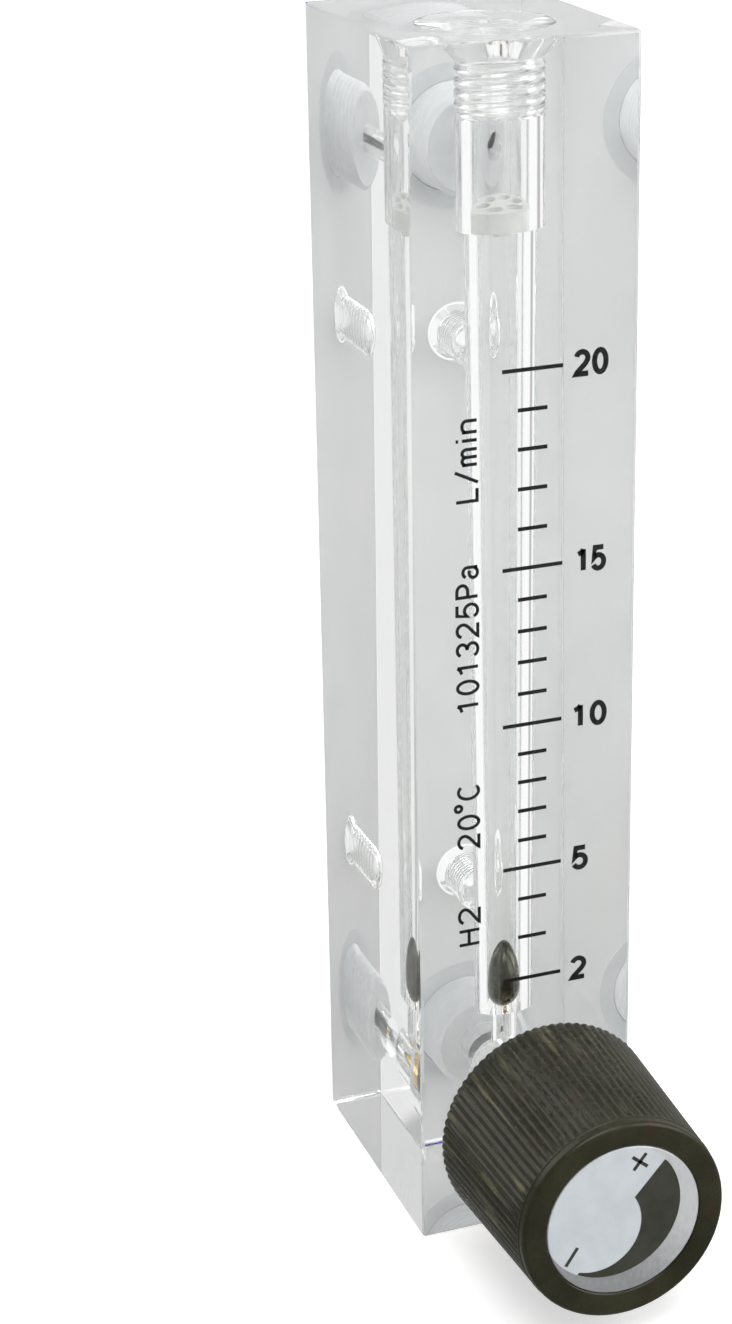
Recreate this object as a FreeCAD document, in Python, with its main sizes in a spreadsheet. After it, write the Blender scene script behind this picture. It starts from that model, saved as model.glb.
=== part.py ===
import FreeCAD, Part
import os
import re

import Sketcher
from FreeCAD import Placement, Rotation, Vector

# A panel rotameter: a clear acrylic block with a tapered bore that a float rises in, a needle valve
# with a knurled knob on the front, and two push-in tube fittings on the rear.
# Frame: the block stands on the XY plane with its base centred on the origin, +Z up, the scale faces -Y.
# Every size below is in millimetres. A body is drawn in its own frame and placed where it belongs.

DIMS = {
    # clear block
    "block_width": 28.0,
    "block_depth": 35.0,
    "block_height": 150.0,
    "block_chamfer": 0.4,
    "bore_setback": 12.5,        # front face to the axis of the metering bore
    # metering bore, from the foot up
    "valve_height": 17.0,        # base to the axis of the valve and the inlet port
    "passage_diameter": 3.4,     # drilled way from the valve chamber up to the bore
    "float_seat_height": 26.3,   # base to the step that the float rests on
    "taper_foot_diameter": 7.5,
    "taper_head_diameter": 8.9,
    "outlet_chamber_diameter": 10.7,
    "outlet_chamber_length": 13.0,
    # plug that closes the bore at the top
    "plug_thread_length": 10.0,
    "plug_head_diameter": 16.4,
    "plug_head_land": 0.6,
    "plug_centre_diameter": 1.4,
    "plug_centre_depth": 0.6,
    "plug_foot_chamfer": 0.5,
    # ports in the rear face, G 1/4 at its minor diameter
    "outlet_setback": 15.0,      # top of the block to the axis of the outlet port
    "port_bore_diameter": 11.5,
    "port_depth": 10.0,
    "port_passage_diameter": 6.0,
    "port_chamfer": 0.9,
    # threaded mounting holes in the rear face, M6 at its minor diameter
    "mount_setback": 39.0,       # each end of the block to the axis of the nearer hole
    "mount_bore_diameter": 5.0,
    "mount_depth": 10.0,
    "mount_chamfer": 0.9,
    "drill_point_depth": 1.4,
    # white film on the rear face
    "film_thickness": 0.2,
    "film_margin": 0.5,
    "film_hole_clearance": 0.3,
    # float
    "float_diameter": 7.0,
    "float_length": 8.5,
    "float_tip_radius": 2.3,
    "float_rest_gap": 0.1,
    # cage that stops the float below the outlet
    "stop_height": 2.4,
    "stop_boss_diameter": 2.6,
    "stop_boss_drop": 1.2,
    "stop_hole_diameter": 2.6,
    "stop_hole_circle": 6.2,
    "stop_hole_count": 6,
    # valve cavity in the block, along the valve axis
    "bonnet_bore_diameter": 11.4,
    "bonnet_bore_depth": 10.0,
    "valve_chamber_diameter": 7.0,
    "valve_seat_setback": 16.5,  # front face to the valve seat
    "orifice_diameter": 3.0,
    "orifice_length": 4.0,
    "bonnet_chamfer": 0.5,
    # bonnet, the brass bush that carries the valve stem
    "bonnet_hex_flats": 15.0,
    "bonnet_hex_thickness": 4.5,
    "bonnet_neck_diameter": 9.4,
    "bonnet_neck_height": 3.6,
    "bonnet_shank_length": 9.5,
    "stem_thread_diameter": 6.0,
    "stem_thread_bore_length": 5.0,
    "gland_bore_diameter": 7.1,
    "bonnet_ring_groove_depth": 1.3,
    "bonnet_ring_groove_start": 5.6,
    "ring_groove_width": 1.9,
    # valve stem
    "stem_thread_length": 5.2,
    "stem_thread_start": 10.3,   # inner end of the stem thread, from the block's front face
    "stem_relief_diameter": 5.0,
    "stem_collar_length": 3.2,
    "stem_collar_start": 3.8,
    "stem_groove_diameter": 4.7,
    "needle_diameter": 4.0,
    "needle_tip_diameter": 1.2,
    "needle_reach": 2.5,         # tip beyond the seat when the valve is shut
    "stem_diameter": 4.0,
    "stem_end_chamfer": 0.4,
    # knob
    "knob_gap": 6.6,             # front face to the rear rim of the knob
    "knob_length": 23.0,
    "knob_rear_diameter": 27.9,
    "knob_front_diameter": 25.8,
    "knob_rim_length": 1.7,      # smooth band ahead of the ribs
    "knob_rim_radius": 1.2,
    "knob_rim_setback": 0.25,
    "knob_wall": 2.2,
    "knob_web": 3.4,
    "knob_hub_diameter": 11.4,
    "knob_hub_recess": 3.2,
    "rib_depth": 0.35,
    "rib_overrun": 0.05,         # past the surface, so that the notch is open
    "rib_width": 0.7,
    "rib_count": 78,
    # brass insert moulded into the knob
    "insert_diameter": 7.2,
    "insert_length": 14.5,
    # label disc in the knob's front recess
    "label_diameter": 19.3,
    "label_thickness": 0.3,
    "label_recess": 1.0,
    # push-in fittings, measured out from the block's rear face
    "fitting_thread_length": 9.0,
    "fitting_bore_diameter": 6.0,
    "face_seal_diameter": 17.0,
    "face_seal_thickness": 1.1,
    "fitting_hex_flats": 15.0,
    "fitting_hex_length": 7.4,
    "fitting_foot_chamfer": 0.8,
    "barrel_diameter": 14.2,
    "barrel_length": 4.6,
    "barrel_round": 0.5,
    "tube_diameter": 8.0,
    "tube_clearance": 0.1,       # on the radius, all the way down the tube's path
    "tube_stop_height": 1.6,
    "tube_seat_length": 3.4,
    "cartridge_bore_diameter": 11.6,
    "tube_seal_length": 2.4,
    "tube_seal_lip": 0.9,
    "tube_seal_edge": 0.3,
    "tube_seal_shoulder": 0.6,
    "claw_thickness": 0.3,
    "claw_drop": 0.8,
    "claw_rim_width": 1.0,
    "claw_inner_diameter": 8.6,
    "claw_slot_width": 0.7,
    "claw_teeth": 8,
    "retainer_length": 4.2,
    "retainer_skirt_wall": 0.3,
    "retainer_chamfer": 0.3,
    "retainer_throat_diameter": 9.9,
    "retainer_throat_length": 2.7,
    "collet_diameter": 9.6,
    "collet_barb_diameter": 10.8,
    "collet_barb_length": 0.7,
    "collet_barb_chamfer": 0.4,
    "collet_flange_diameter": 15.6,
    "collet_flange_thickness": 2.4,
    "collet_flange_round": 0.8,
    "collet_mouth_flare": 0.6,
    "collet_mouth_depth": 0.9,
    "collet_gap": 1.2,           # barrel mouth to the collet's flange, before it is pushed
    "collet_slot_width": 0.8,
    "collet_slot_length": 3.4,
    "collet_slot_count": 4,
    # shared
    "hex_corner_margin": 0.2,    # on the radius, from a hexagon's flat to the chamfer of its corners
    "seal_corner": 0.25,
    "cut_overrun": 1.0,          # how far a cut reaches past the solid
    # clearances
    "thread_clearance": 0.05,    # on the radius, between a shank and its bore
    "slide_clearance": 0.05,     # on the radius, between parts that move on each other
    "seat_clearance": 0.05,      # along the axis, between parts that only meet
}

# heights above the base that follow from the sizes
PLUG_FOOT = "(block_height - plug_thread_length)"
SHOULDER = f"({PLUG_FOOT} - outlet_chamber_length)"
OUTLET_HEIGHT = "(block_height - outlet_setback)"
HIGH_MOUNT = "(block_height - mount_setback)"

ZERO = 1e-9
SMALL = 1e-4

document = FreeCAD.newDocument("rotameter")
sheet = document.addObject("Spreadsheet::Sheet", "Dims")
for row, (alias, size) in enumerate(DIMS.items(), start=1):
    sheet.set(f"A{row}", alias)
    sheet.set(f"B{row}", str(size))
    sheet.setAlias(f"B{row}", alias)
document.recompute()

bodies = []


def bound(text):
    """The text as an expression in which every named size is read from the sheet."""
    return re.sub(r"[a-z_]\w*", lambda word: "Dims." * (word[0] in DIMS) + word[0], text)


def value(text):
    """The expression's present value, for the first position of what a constraint then holds."""
    return float(sheet.evalExpression(bound(text)))


def new_body(label, x="0", y="0", z="0", turn=Rotation()):
    """An empty body, placed by expressions."""
    body = document.addObject("PartDesign::Body", label)
    body.Label = label
    body.Placement = Placement(Vector(), turn)
    for direction, text in zip("xyz", (x, y, z)):
        body.setExpression(f"Placement.Base.{direction}", bound(text))
    bodies.append(body)
    return body


def new_sketch(body, name, plane, lift="0"):
    """A sketch on one of the body's own origin planes, lifted along the plane's normal."""
    sketch = body.newObject("Sketcher::SketchObject", name)
    support = next(part for part in body.Origin.OriginFeatures if part.Role == plane)
    sketch.AttachmentSupport = [(support, "")]
    sketch.MapMode = "FlatFace"
    sketch.setExpression("AttachmentOffset.Base.z", bound(lift))
    return sketch


def pin(sketch, edge, end, x, y):
    """Holds one end of an edge at (x, y), both tied to the sheet. The sketch's axes are edges -1 and -2."""
    for kind, text, axis in (("DistanceX", x, -2), ("DistanceY", y, -1)):
        size = value(text)
        if abs(size) < ZERO:
            sketch.addConstraint(Sketcher.Constraint("PointOnObject", edge, end, axis))
        elif size > 0:
            held = sketch.addConstraint(Sketcher.Constraint(kind, -1, 1, edge, end, size))
            sketch.setExpression(f"Constraints[{held}]", bound(text))
        else:
            held = sketch.addConstraint(Sketcher.Constraint(kind, edge, end, -1, 1, -size))
            sketch.setExpression(f"Constraints[{held}]", bound(f"-({text})"))


def outline(body, name, plane, corners, lift="0"):
    """A closed outline of straight sides whose corners are pairs of expressions."""
    sketch = new_sketch(body, name, plane, lift)
    points = [Vector(value(x), value(y), 0) for x, y in corners]
    count = len(points)
    for index, point in enumerate(points):
        sketch.addGeometry(Part.LineSegment(point, points[(index + 1) % count]), False)
    for index in range(count):
        sketch.addConstraint(Sketcher.Constraint("Coincident", index, 2, (index + 1) % count, 1))
    for index, (x, y) in enumerate(corners):
        pin(sketch, index, 1, x, y)
    return sketch


def circles(body, name, plane, places, lift="0"):
    """A sketch of full circles, each given as (x, y, diameter)."""
    sketch = new_sketch(body, name, plane, lift)
    for index, (x, y, diameter) in enumerate(places):
        centre = Vector(value(x), value(y), 0)
        sketch.addGeometry(Part.Circle(centre, Vector(0, 0, 1), value(diameter) / 2), False)
        pin(sketch, index, 3, x, y)
        held = sketch.addConstraint(Sketcher.Constraint("Diameter", index, value(diameter)))
        sketch.setExpression(f"Constraints[{held}]", bound(diameter))
    return sketch


def turned(body, name, sketch, cut=False):
    """The sketch turned a full circle about its own vertical axis, added or cut away."""
    feature = body.newObject("PartDesign::Groove" if cut else "PartDesign::Revolution", name)
    feature.Profile = sketch
    feature.ReferenceAxis = (sketch, ["V_Axis"])
    feature.Angle = 360.0
    sketch.Visibility = False
    return feature


def padded(body, name, sketch, length, reverse=False):
    """The sketch raised along its normal, or against it, by an expression's length."""
    feature = body.newObject("PartDesign::Pad", name)
    feature.Profile = sketch
    feature.Reversed = reverse
    feature.setExpression("Length", bound(length))
    return feature


def pocketed(body, name, sketch, length, reverse):
    """The sketch cut into the body; the volume has to fall."""
    document.recompute()
    before = body.Shape.Volume
    feature = body.newObject("PartDesign::Pocket", name)
    feature.Profile = sketch
    feature.Reversed = reverse
    feature.setExpression("Length", bound(length))
    document.recompute()
    if body.Shape.Volume > before - SMALL:
        raise ValueError(f"{name} cuts nothing from {body.Label}")
    return feature


def around(body, name, feature, count):
    """The feature repeated evenly round the body's Z axis."""
    pattern = body.newObject("PartDesign::PolarPattern", name)
    pattern.Originals = [feature]
    axis = next(part for part in body.Origin.OriginFeatures if part.Role == "Z_Axis")
    pattern.Axis = (axis, [""])
    pattern.Angle = 360.0
    pattern.setExpression("Occurrences", bound(count))
    body.Tip = pattern
    return pattern


def edges_where(body, wanted):
    """The names of the body's edges whose shape passes a test."""
    document.recompute()
    edges = body.Tip.Shape.Edges
    return [f"Edge{index}" for index, edge in enumerate(edges, start=1) if wanted(edge)]


def edge_broken(body, name, kind, wanted, size):
    """A chamfer or fillet on the body's edges that pass a test."""
    base = body.Tip
    names = edges_where(body, wanted)
    feature = body.newObject(f"PartDesign::{kind}", name)
    feature.Base = (base, names)
    feature.setExpression("Size" if kind == "Chamfer" else "Radius", bound(size))
    body.Tip = feature
    return feature


def hexagon(body, name, flats, lift):
    """A hexagon across the body's Z axis, with two of its flats facing along Y."""
    half = f"{flats} / 2"
    reach = f"{flats} / sqrt(3)"
    corners = [
        (reach, "0"), (f"{reach} / 2", half), (f"-{reach} / 2", half),
        (f"-{reach}", "0"), (f"-{reach} / 2", f"-{half}"), (f"{reach} / 2", f"-{half}"),
    ]
    return outline(body, name, "XY_Plane", corners, lift)


def hex_head(body, flats, start, length, both_ends):
    """A hexagon bar along Z whose corners are turned off at its outer end, or at both."""
    padded(body, "hex", hexagon(body, "hex_outline", flats, start), length)
    corner = f"({flats} / sqrt(3) + cut_overrun)"
    low = f"({flats} / 2 + hex_corner_margin)"
    end = f"{start} + {length}"
    outer = [(corner, end), (low, end), (corner, f"{end} - ({corner} - {low}) / sqrt(3)")]
    turned(body, "hex_outer_chamfer", outline(body, "hex_outer_cut", "XZ_Plane", outer), cut=True)
    if both_ends:
        inner = [(corner, start), (low, start), (corner, f"{start} + ({corner} - {low}) / sqrt(3)")]
        turned(body, "hex_inner_chamfer", outline(body, "hex_inner_cut", "XZ_Plane", inner), cut=True)


def acrylic_body():
    """The block. Its own origin is where the metering bore's axis meets the base."""
    body = new_body("acrylic_body", y="bore_setback - block_depth / 2")
    front = "-bore_setback"
    rear = "(block_depth - bore_setback)"
    left = "-block_width / 2"
    right = "block_width / 2"
    footprint = [(left, front), (right, front), (right, rear), (left, rear)]
    padded(body, "block", outline(body, "block_outline", "XY_Plane", footprint), "block_height")
    edge_broken(body, "block_edges", "Chamfer", lambda edge: True, "block_chamfer")

    sink = "(plug_head_diameter - port_bore_diameter) / 2"
    bore = [
        ("0", "valve_height"),
        ("passage_diameter / 2", "valve_height"),
        ("passage_diameter / 2", "float_seat_height"),
        ("taper_foot_diameter / 2", "float_seat_height"),
        ("taper_head_diameter / 2", SHOULDER),
        ("outlet_chamber_diameter / 2", SHOULDER),
        ("outlet_chamber_diameter / 2", PLUG_FOOT),
        ("port_bore_diameter / 2", PLUG_FOOT),
        ("port_bore_diameter / 2", f"block_height - plug_head_land - {sink}"),
        ("plug_head_diameter / 2", "block_height - plug_head_land"),
        ("plug_head_diameter / 2", "block_height"),
        ("0", "block_height"),
    ]
    turned(body, "metering_bore", outline(body, "bore_profile", "XZ_Plane", bore), cut=True)

    port_floor = f"{rear} - port_depth"
    mouth = [
        ("port_bore_diameter / 2", port_floor),
        ("port_bore_diameter / 2", f"{rear} - port_chamfer"),
        ("port_bore_diameter / 2 + port_chamfer", rear),
        ("0", rear),
    ]
    outlet = [("0", "0"), ("port_passage_diameter / 2", "0"), ("port_passage_diameter / 2", port_floor)]
    sketch = outline(body, "outlet_profile", "XY_Plane", outlet + mouth, OUTLET_HEIGHT)
    turned(body, "outlet_port", sketch, cut=True)

    seat = f"{front} + valve_seat_setback"
    cavity = [
        ("0", front),
        ("bonnet_bore_diameter / 2 + bonnet_chamfer", front),
        ("bonnet_bore_diameter / 2", f"{front} + bonnet_chamfer"),
        ("bonnet_bore_diameter / 2", f"{front} + bonnet_bore_depth"),
        ("valve_chamber_diameter / 2", f"{front} + bonnet_bore_depth"),
        ("valve_chamber_diameter / 2", seat),
        ("orifice_diameter / 2", seat),
        ("orifice_diameter / 2", f"{seat} + orifice_length"),
        ("port_passage_diameter / 2", f"{seat} + orifice_length"),
        ("port_passage_diameter / 2", port_floor),
    ]
    sketch = outline(body, "valve_profile", "XY_Plane", cavity + mouth, "valve_height")
    turned(body, "valve_cavity_and_inlet", sketch, cut=True)

    hole_floor = f"{rear} - mount_depth"
    hole = [
        ("0", f"{hole_floor} - drill_point_depth"),
        ("mount_bore_diameter / 2", hole_floor),
        ("mount_bore_diameter / 2", f"{rear} - mount_chamfer"),
        ("mount_bore_diameter / 2 + mount_chamfer", rear),
        ("0", rear),
    ]
    for name, height in (("low", "mount_setback"), ("high", HIGH_MOUNT)):
        sketch = outline(body, f"{name}_mount_profile", "XY_Plane", hole, height)
        turned(body, f"{name}_mount_hole", sketch, cut=True)


def rear_film():
    """The white film on the rear face, cut out round the ports and the mounting holes."""
    body = new_body("rear_film", y="block_depth / 2", turn=Rotation(Vector(1, 0, 0), 90))
    half = "block_width / 2 - film_margin"
    top = "block_height - film_margin"
    sheet_outline = [(f"-({half})", "film_margin"), (half, "film_margin"), (half, top), (f"-({half})", top)]
    flat = outline(body, "film_outline", "XY_Plane", sheet_outline)
    padded(body, "film", flat, "film_thickness", reverse=True)
    port_hole = "face_seal_diameter + 2 * film_hole_clearance"
    mount_hole = "mount_bore_diameter + 2 * mount_chamfer + 2 * film_hole_clearance"
    places = [
        ("0", "valve_height", port_hole), ("0", OUTLET_HEIGHT, port_hole),
        ("0", "mount_setback", mount_hole), ("0", HIGH_MOUNT, mount_hole),
    ]
    cutouts = circles(body, "film_holes", "XY_Plane", places)
    pocketed(body, "film_cutouts", cutouts, "film_thickness", reverse=False)


def top_plug():
    """The clear plug that closes the bore, turned with a countersunk head and a centre mark."""
    body = new_body("top_plug", y="bore_setback - block_depth / 2", z=PLUG_FOOT)
    shank = "(port_bore_diameter / 2 - thread_clearance)"
    head = "(plug_head_diameter / 2 - thread_clearance)"
    length = "plug_thread_length"
    profile = [
        ("0", "seat_clearance"),
        (f"{shank} - plug_foot_chamfer", "seat_clearance"),
        (shank, "seat_clearance + plug_foot_chamfer"),
        (shank, f"{length} - plug_head_land - ({head} - {shank})"),
        (head, f"{length} - plug_head_land"),
        (head, length),
        ("plug_centre_diameter / 2", length),
        ("0", f"{length} - plug_centre_depth"),
    ]
    turned(body, "plug", outline(body, "plug_profile", "XZ_Plane", profile))


def metering_float():
    """The float: a round foot that sits in the mouth of the passage, drawn up to a small round tip.

    Edge -2 of the sketch is its vertical axis, and point 1 of edge -1 its origin.
    """
    seat = "passage_diameter / 2"
    sink = f"(float_diameter / 2 - sqrt((float_diameter / 2)^2 - ({seat})^2))"
    foot_height = f"float_seat_height - {sink} + float_rest_gap"
    body = new_body("float", y="bore_setback - block_depth / 2", z=foot_height)
    radius = value("float_diameter / 2")
    tip = value("float_tip_radius")
    reach = value("float_length") - radius - tip
    flank = (radius**2 + reach**2 - tip**2) / (2 * (radius - tip))
    flank_centre = Vector(radius - flank, radius, 0)
    tip_centre = Vector(0, radius + reach, 0)
    join = tip_centre + (tip_centre - flank_centre).normalize() * tip
    top = Vector(0, radius + reach + tip, 0)
    side = Vector(radius, radius, 0)
    half_way = (side - flank_centre + join - flank_centre).normalize() * flank + flank_centre
    tip_way = (join - tip_centre + Vector(0, tip, 0)).normalize() * tip + tip_centre
    foot_way = Vector(1, -1, 0).normalize() * radius + Vector(0, radius, 0)
    sketch = new_sketch(body, "float_profile", "XZ_Plane")
    sketch.addGeometry(Part.Arc(Vector(), foot_way, side), False)
    sketch.addGeometry(Part.Arc(side, half_way, join), False)
    sketch.addGeometry(Part.Arc(join, tip_way, top), False)
    sketch.addGeometry(Part.LineSegment(top, Vector()), False)
    document.recompute()
    ends = [nearest_end(sketch, edge, point) for edge, point in
            ((0, Vector()), (0, side), (1, side), (1, join), (2, join), (2, top))]
    foot, low_side, high_side, low_join, high_join, crown = ends
    sketch.addConstraint(Sketcher.Constraint("Coincident", 0, foot, -1, 1))
    sketch.addConstraint(Sketcher.Constraint("Coincident", 3, 2, -1, 1))
    sketch.addConstraint(Sketcher.Constraint("Coincident", 2, crown, 3, 1))
    sketch.addConstraint(Sketcher.Constraint("PointOnObject", 0, 3, -2))
    sketch.addConstraint(Sketcher.Constraint("PointOnObject", 2, 3, -2))
    sketch.addConstraint(Sketcher.Constraint("Tangent", 0, low_side, 1, high_side))
    sketch.addConstraint(Sketcher.Constraint("Tangent", 1, low_join, 2, high_join))
    sketch.addConstraint(Sketcher.Constraint("PointOnObject", 3, 1, -2))
    for kind, arguments, text in (
        ("Radius", (0,), "float_diameter / 2"),
        ("Radius", (2,), "float_tip_radius"),
        ("DistanceY", (-1, 1, 2, crown), "float_length"),
        ("DistanceY", (-1, 1, 0, low_side), "float_diameter / 2"),
    ):
        held = sketch.addConstraint(Sketcher.Constraint(kind, *arguments, value(text)))
        sketch.setExpression(f"Constraints[{held}]", bound(text))
    turned(body, "float_turned", sketch)


def nearest_end(sketch, edge, point):
    """Which end of an arc in the sketch, 1 or 2, lies at the point."""
    return min((1, 2), key=lambda end: sketch.getPoint(edge, end).distanceToPoint(point))


def float_stop():
    """The perforated disc, pressed in below the outlet, whose boss stops the float."""
    body = new_body("float_stop", y="bore_setback - block_depth / 2", z=SHOULDER)
    rim = "outlet_chamber_diameter / 2"
    profile = [
        ("0", "-stop_boss_drop"),
        ("stop_boss_diameter / 2", "-stop_boss_drop"),
        ("stop_boss_diameter / 2", "0"),
        (rim, "0"),
        (rim, "stop_height"),
        ("0", "stop_height"),
    ]
    turned(body, "stop_disc", outline(body, "stop_profile", "XZ_Plane", profile))
    hole = circles(body, "stop_hole", "XY_Plane", [("stop_hole_circle / 2", "0", "stop_hole_diameter")])
    cut = pocketed(body, "stop_way", hole, "stop_height", reverse=True)
    around(body, "stop_ways", cut, "stop_hole_count")


def valve_axis_body(label, reach="0"):
    """A body whose Z axis is the valve's, pointing out of the front face."""
    turn = Rotation(Vector(1, 0, 0), 90)
    return new_body(label, y=f"-block_depth / 2 - ({reach})", z="valve_height", turn=turn)


def bonnet():
    """The brass bush: a hexagon on the front face, a threaded shank, a neck and a stepped bore."""
    body = valve_axis_body("bonnet")
    shank = "(bonnet_bore_diameter / 2 - thread_clearance)"
    groove = f"({shank} - bonnet_ring_groove_depth)"
    hex_head(body, "bonnet_hex_flats", "0", "bonnet_hex_thickness", both_ends=False)
    profile = [
        ("0", "-bonnet_shank_length"),
        (f"{shank} - bonnet_chamfer", "-bonnet_shank_length"),
        (shank, "-bonnet_shank_length + bonnet_chamfer"),
        (shank, "-bonnet_ring_groove_start - ring_groove_width"),
        (groove, "-bonnet_ring_groove_start - ring_groove_width"),
        (groove, "-bonnet_ring_groove_start"),
        (shank, "-bonnet_ring_groove_start"),
        (shank, "bonnet_hex_thickness / 2"),
        ("bonnet_neck_diameter / 2", "bonnet_hex_thickness / 2"),
        ("bonnet_neck_diameter / 2", "bonnet_hex_thickness + bonnet_neck_height"),
        ("0", "bonnet_hex_thickness + bonnet_neck_height"),
    ]
    turned(body, "shank_and_neck", outline(body, "shank_profile", "XZ_Plane", profile))
    shelf = "-bonnet_shank_length + stem_thread_bore_length"
    bore = [
        ("0", "-bonnet_shank_length"),
        ("stem_thread_diameter / 2 + slide_clearance", "-bonnet_shank_length"),
        ("stem_thread_diameter / 2 + slide_clearance", shelf),
        ("gland_bore_diameter / 2", shelf),
        ("gland_bore_diameter / 2", "bonnet_hex_thickness + bonnet_neck_height"),
        ("0", "bonnet_hex_thickness + bonnet_neck_height"),
    ]
    turned(body, "stem_bore", outline(body, "stem_bore_profile", "XZ_Plane", bore), cut=True)


def ring(label, body, inner, outer, start, width):
    """A rubber ring with rounded corners that fills its groove."""
    corner = "seal_corner"
    end = f"{start} + {width}"
    profile = [
        (inner, f"{start} + {corner}"),
        (f"{inner} + {corner}", start),
        (f"{outer} - {corner}", start),
        (outer, f"{start} + {corner}"),
        (outer, f"{end} - {corner}"),
        (f"{outer} - {corner}", end),
        (f"{inner} + {corner}", end),
        (inner, f"{end} - {corner}"),
    ]
    turned(body, label, outline(body, f"{label}_profile", "XZ_Plane", profile))


def bonnet_seal():
    """The ring in the bonnet's groove that seals it in the block."""
    body = valve_axis_body("bonnet_seal")
    inner = "(bonnet_bore_diameter / 2 - thread_clearance - bonnet_ring_groove_depth)"
    start = "-bonnet_ring_groove_start - ring_groove_width + seat_clearance"
    ring("seal_ring", body, inner, "bonnet_bore_diameter / 2", start, "ring_groove_width - 2 * seat_clearance")


def valve_stem():
    """The stem: needle, thread, sealing collar and the shaft that the knob is pressed on."""
    body = valve_axis_body("valve_stem")
    collar = "(gland_bore_diameter / 2 - slide_clearance)"
    tip = "-valve_seat_setback - needle_reach"
    thread = "stem_thread_diameter / 2"
    flank = "(orifice_diameter / 2 - seat_clearance - needle_tip_diameter / 2) / needle_reach"
    needle_length = f"(needle_diameter - needle_tip_diameter) / 2 / ({flank})"
    groove_start = "(-stem_collar_start + stem_collar_length / 2 - ring_groove_width / 2)"
    end = "knob_gap + knob_hub_recess + insert_length"
    profile = [
        ("0", tip),
        ("needle_tip_diameter / 2", tip),
        ("needle_diameter / 2", f"{tip} + {needle_length}"),
        ("needle_diameter / 2", "-stem_thread_start"),
        (thread, "-stem_thread_start"),
        (thread, "-stem_thread_start + stem_thread_length"),
        ("stem_relief_diameter / 2", "-stem_thread_start + stem_thread_length"),
        ("stem_relief_diameter / 2", "-stem_collar_start"),
        (collar, "-stem_collar_start"),
        (collar, groove_start),
        ("stem_groove_diameter / 2", groove_start),
        ("stem_groove_diameter / 2", f"{groove_start} + ring_groove_width"),
        (collar, f"{groove_start} + ring_groove_width"),
        (collar, "-stem_collar_start + stem_collar_length"),
        ("stem_diameter / 2", "-stem_collar_start + stem_collar_length"),
        ("stem_diameter / 2", f"{end} - stem_end_chamfer"),
        ("stem_diameter / 2 - stem_end_chamfer", end),
        ("0", end),
    ]
    turned(body, "stem", outline(body, "stem_profile", "XZ_Plane", profile))


def stem_seal():
    """The ring on the stem's collar. It slides in the bonnet with the stem and doesn't turn."""
    body = valve_axis_body("stem_seal")
    start = "-stem_collar_start + stem_collar_length / 2 - ring_groove_width / 2 + seat_clearance"
    inner = "(stem_groove_diameter / 2 + slide_clearance / 2)"
    outer = "(gland_bore_diameter / 2 - slide_clearance / 2)"
    ring("seal_ring", body, inner, outer, start, "ring_groove_width - 2 * seat_clearance")


def knob():
    """The moulded knob: a tapered, ribbed shell with a smooth rounded rim, a web and a hub."""
    body = valve_axis_body("knob", "knob_gap")
    front = "knob_length"
    crown = "(knob_front_diameter / 2 - knob_rim_setback)"
    rib_end = "(knob_length - knob_rim_length)"
    recess = "(knob_length - label_recess)"
    web = f"({recess} - knob_web)"
    label_seat = "(label_diameter / 2 + slide_clearance)"
    profile = [
        ("knob_rear_diameter / 2 - knob_wall", "0"),
        ("knob_rear_diameter / 2", "0"),
        ("knob_front_diameter / 2", rib_end),
        (crown, f"{rib_end} + knob_rim_setback"),
        (crown, front),
        (label_seat, front),
        (label_seat, recess),
        ("insert_diameter / 2", recess),
        ("insert_diameter / 2", "knob_hub_recess"),
        ("knob_hub_diameter / 2", "knob_hub_recess"),
        ("knob_hub_diameter / 2", web),
        ("knob_front_diameter / 2 - knob_wall", web),
    ]
    turned(body, "knob_shell", outline(body, "knob_profile", "XZ_Plane", profile))

    outer_rim = value(crown)
    edge_broken(
        body, "rounded_rim", "Fillet",
        lambda edge: abs(edge.BoundBox.ZMin - value(front)) < SMALL
        and abs(edge.BoundBox.XMax - outer_rim) < SMALL,
        "knob_rim_radius",
    )
    rib = [rib_notch(body, "rib_rear", "knob_rear_diameter", "0"),
           rib_notch(body, "rib_front", "knob_front_diameter", rib_end)]
    notch = body.newObject("PartDesign::SubtractiveLoft", "rib_notch")
    notch.Profile = rib[0]
    notch.Sections = [rib[1]]
    notch.Ruled = True
    around(body, "ribs", notch, "rib_count")


def rib_notch(body, name, diameter, height):
    """The triangle that is cut between two ribs, at one end of the ribbed band."""
    half = "rib_width / 2"
    corners = [
        (f"{diameter} / 2 - rib_depth", "0"),
        (f"{diameter} / 2 + rib_overrun", f"-{half}"),
        (f"{diameter} / 2 + rib_overrun", half),
    ]
    return outline(body, name, "XY_Plane", corners, height)


def knob_insert():
    """The brass bush moulded into the knob's hub, which is pressed on the stem."""
    body = valve_axis_body("knob_insert", "knob_gap + knob_hub_recess")
    outer = "insert_diameter / 2"
    inner = "stem_diameter / 2"
    profile = [(inner, "0"), (outer, "0"), (outer, "insert_length"), (inner, "insert_length")]
    turned(body, "bush", outline(body, "bush_profile", "XZ_Plane", profile))


def knob_label():
    """The thin disc in the recess of the knob's front."""
    body = valve_axis_body("knob_label", "knob_gap + knob_length - label_recess")
    disc = circles(body, "label_outline", "XY_Plane", [("0", "0", "label_diameter")])
    padded(body, "label_disc", disc, "label_thickness")


def port_body(label, height):
    """A body whose Z axis is a port's, pointing out of the rear face."""
    return new_body(label, y="block_depth / 2", z=height, turn=Rotation(Vector(1, 0, 0), -90))


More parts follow.
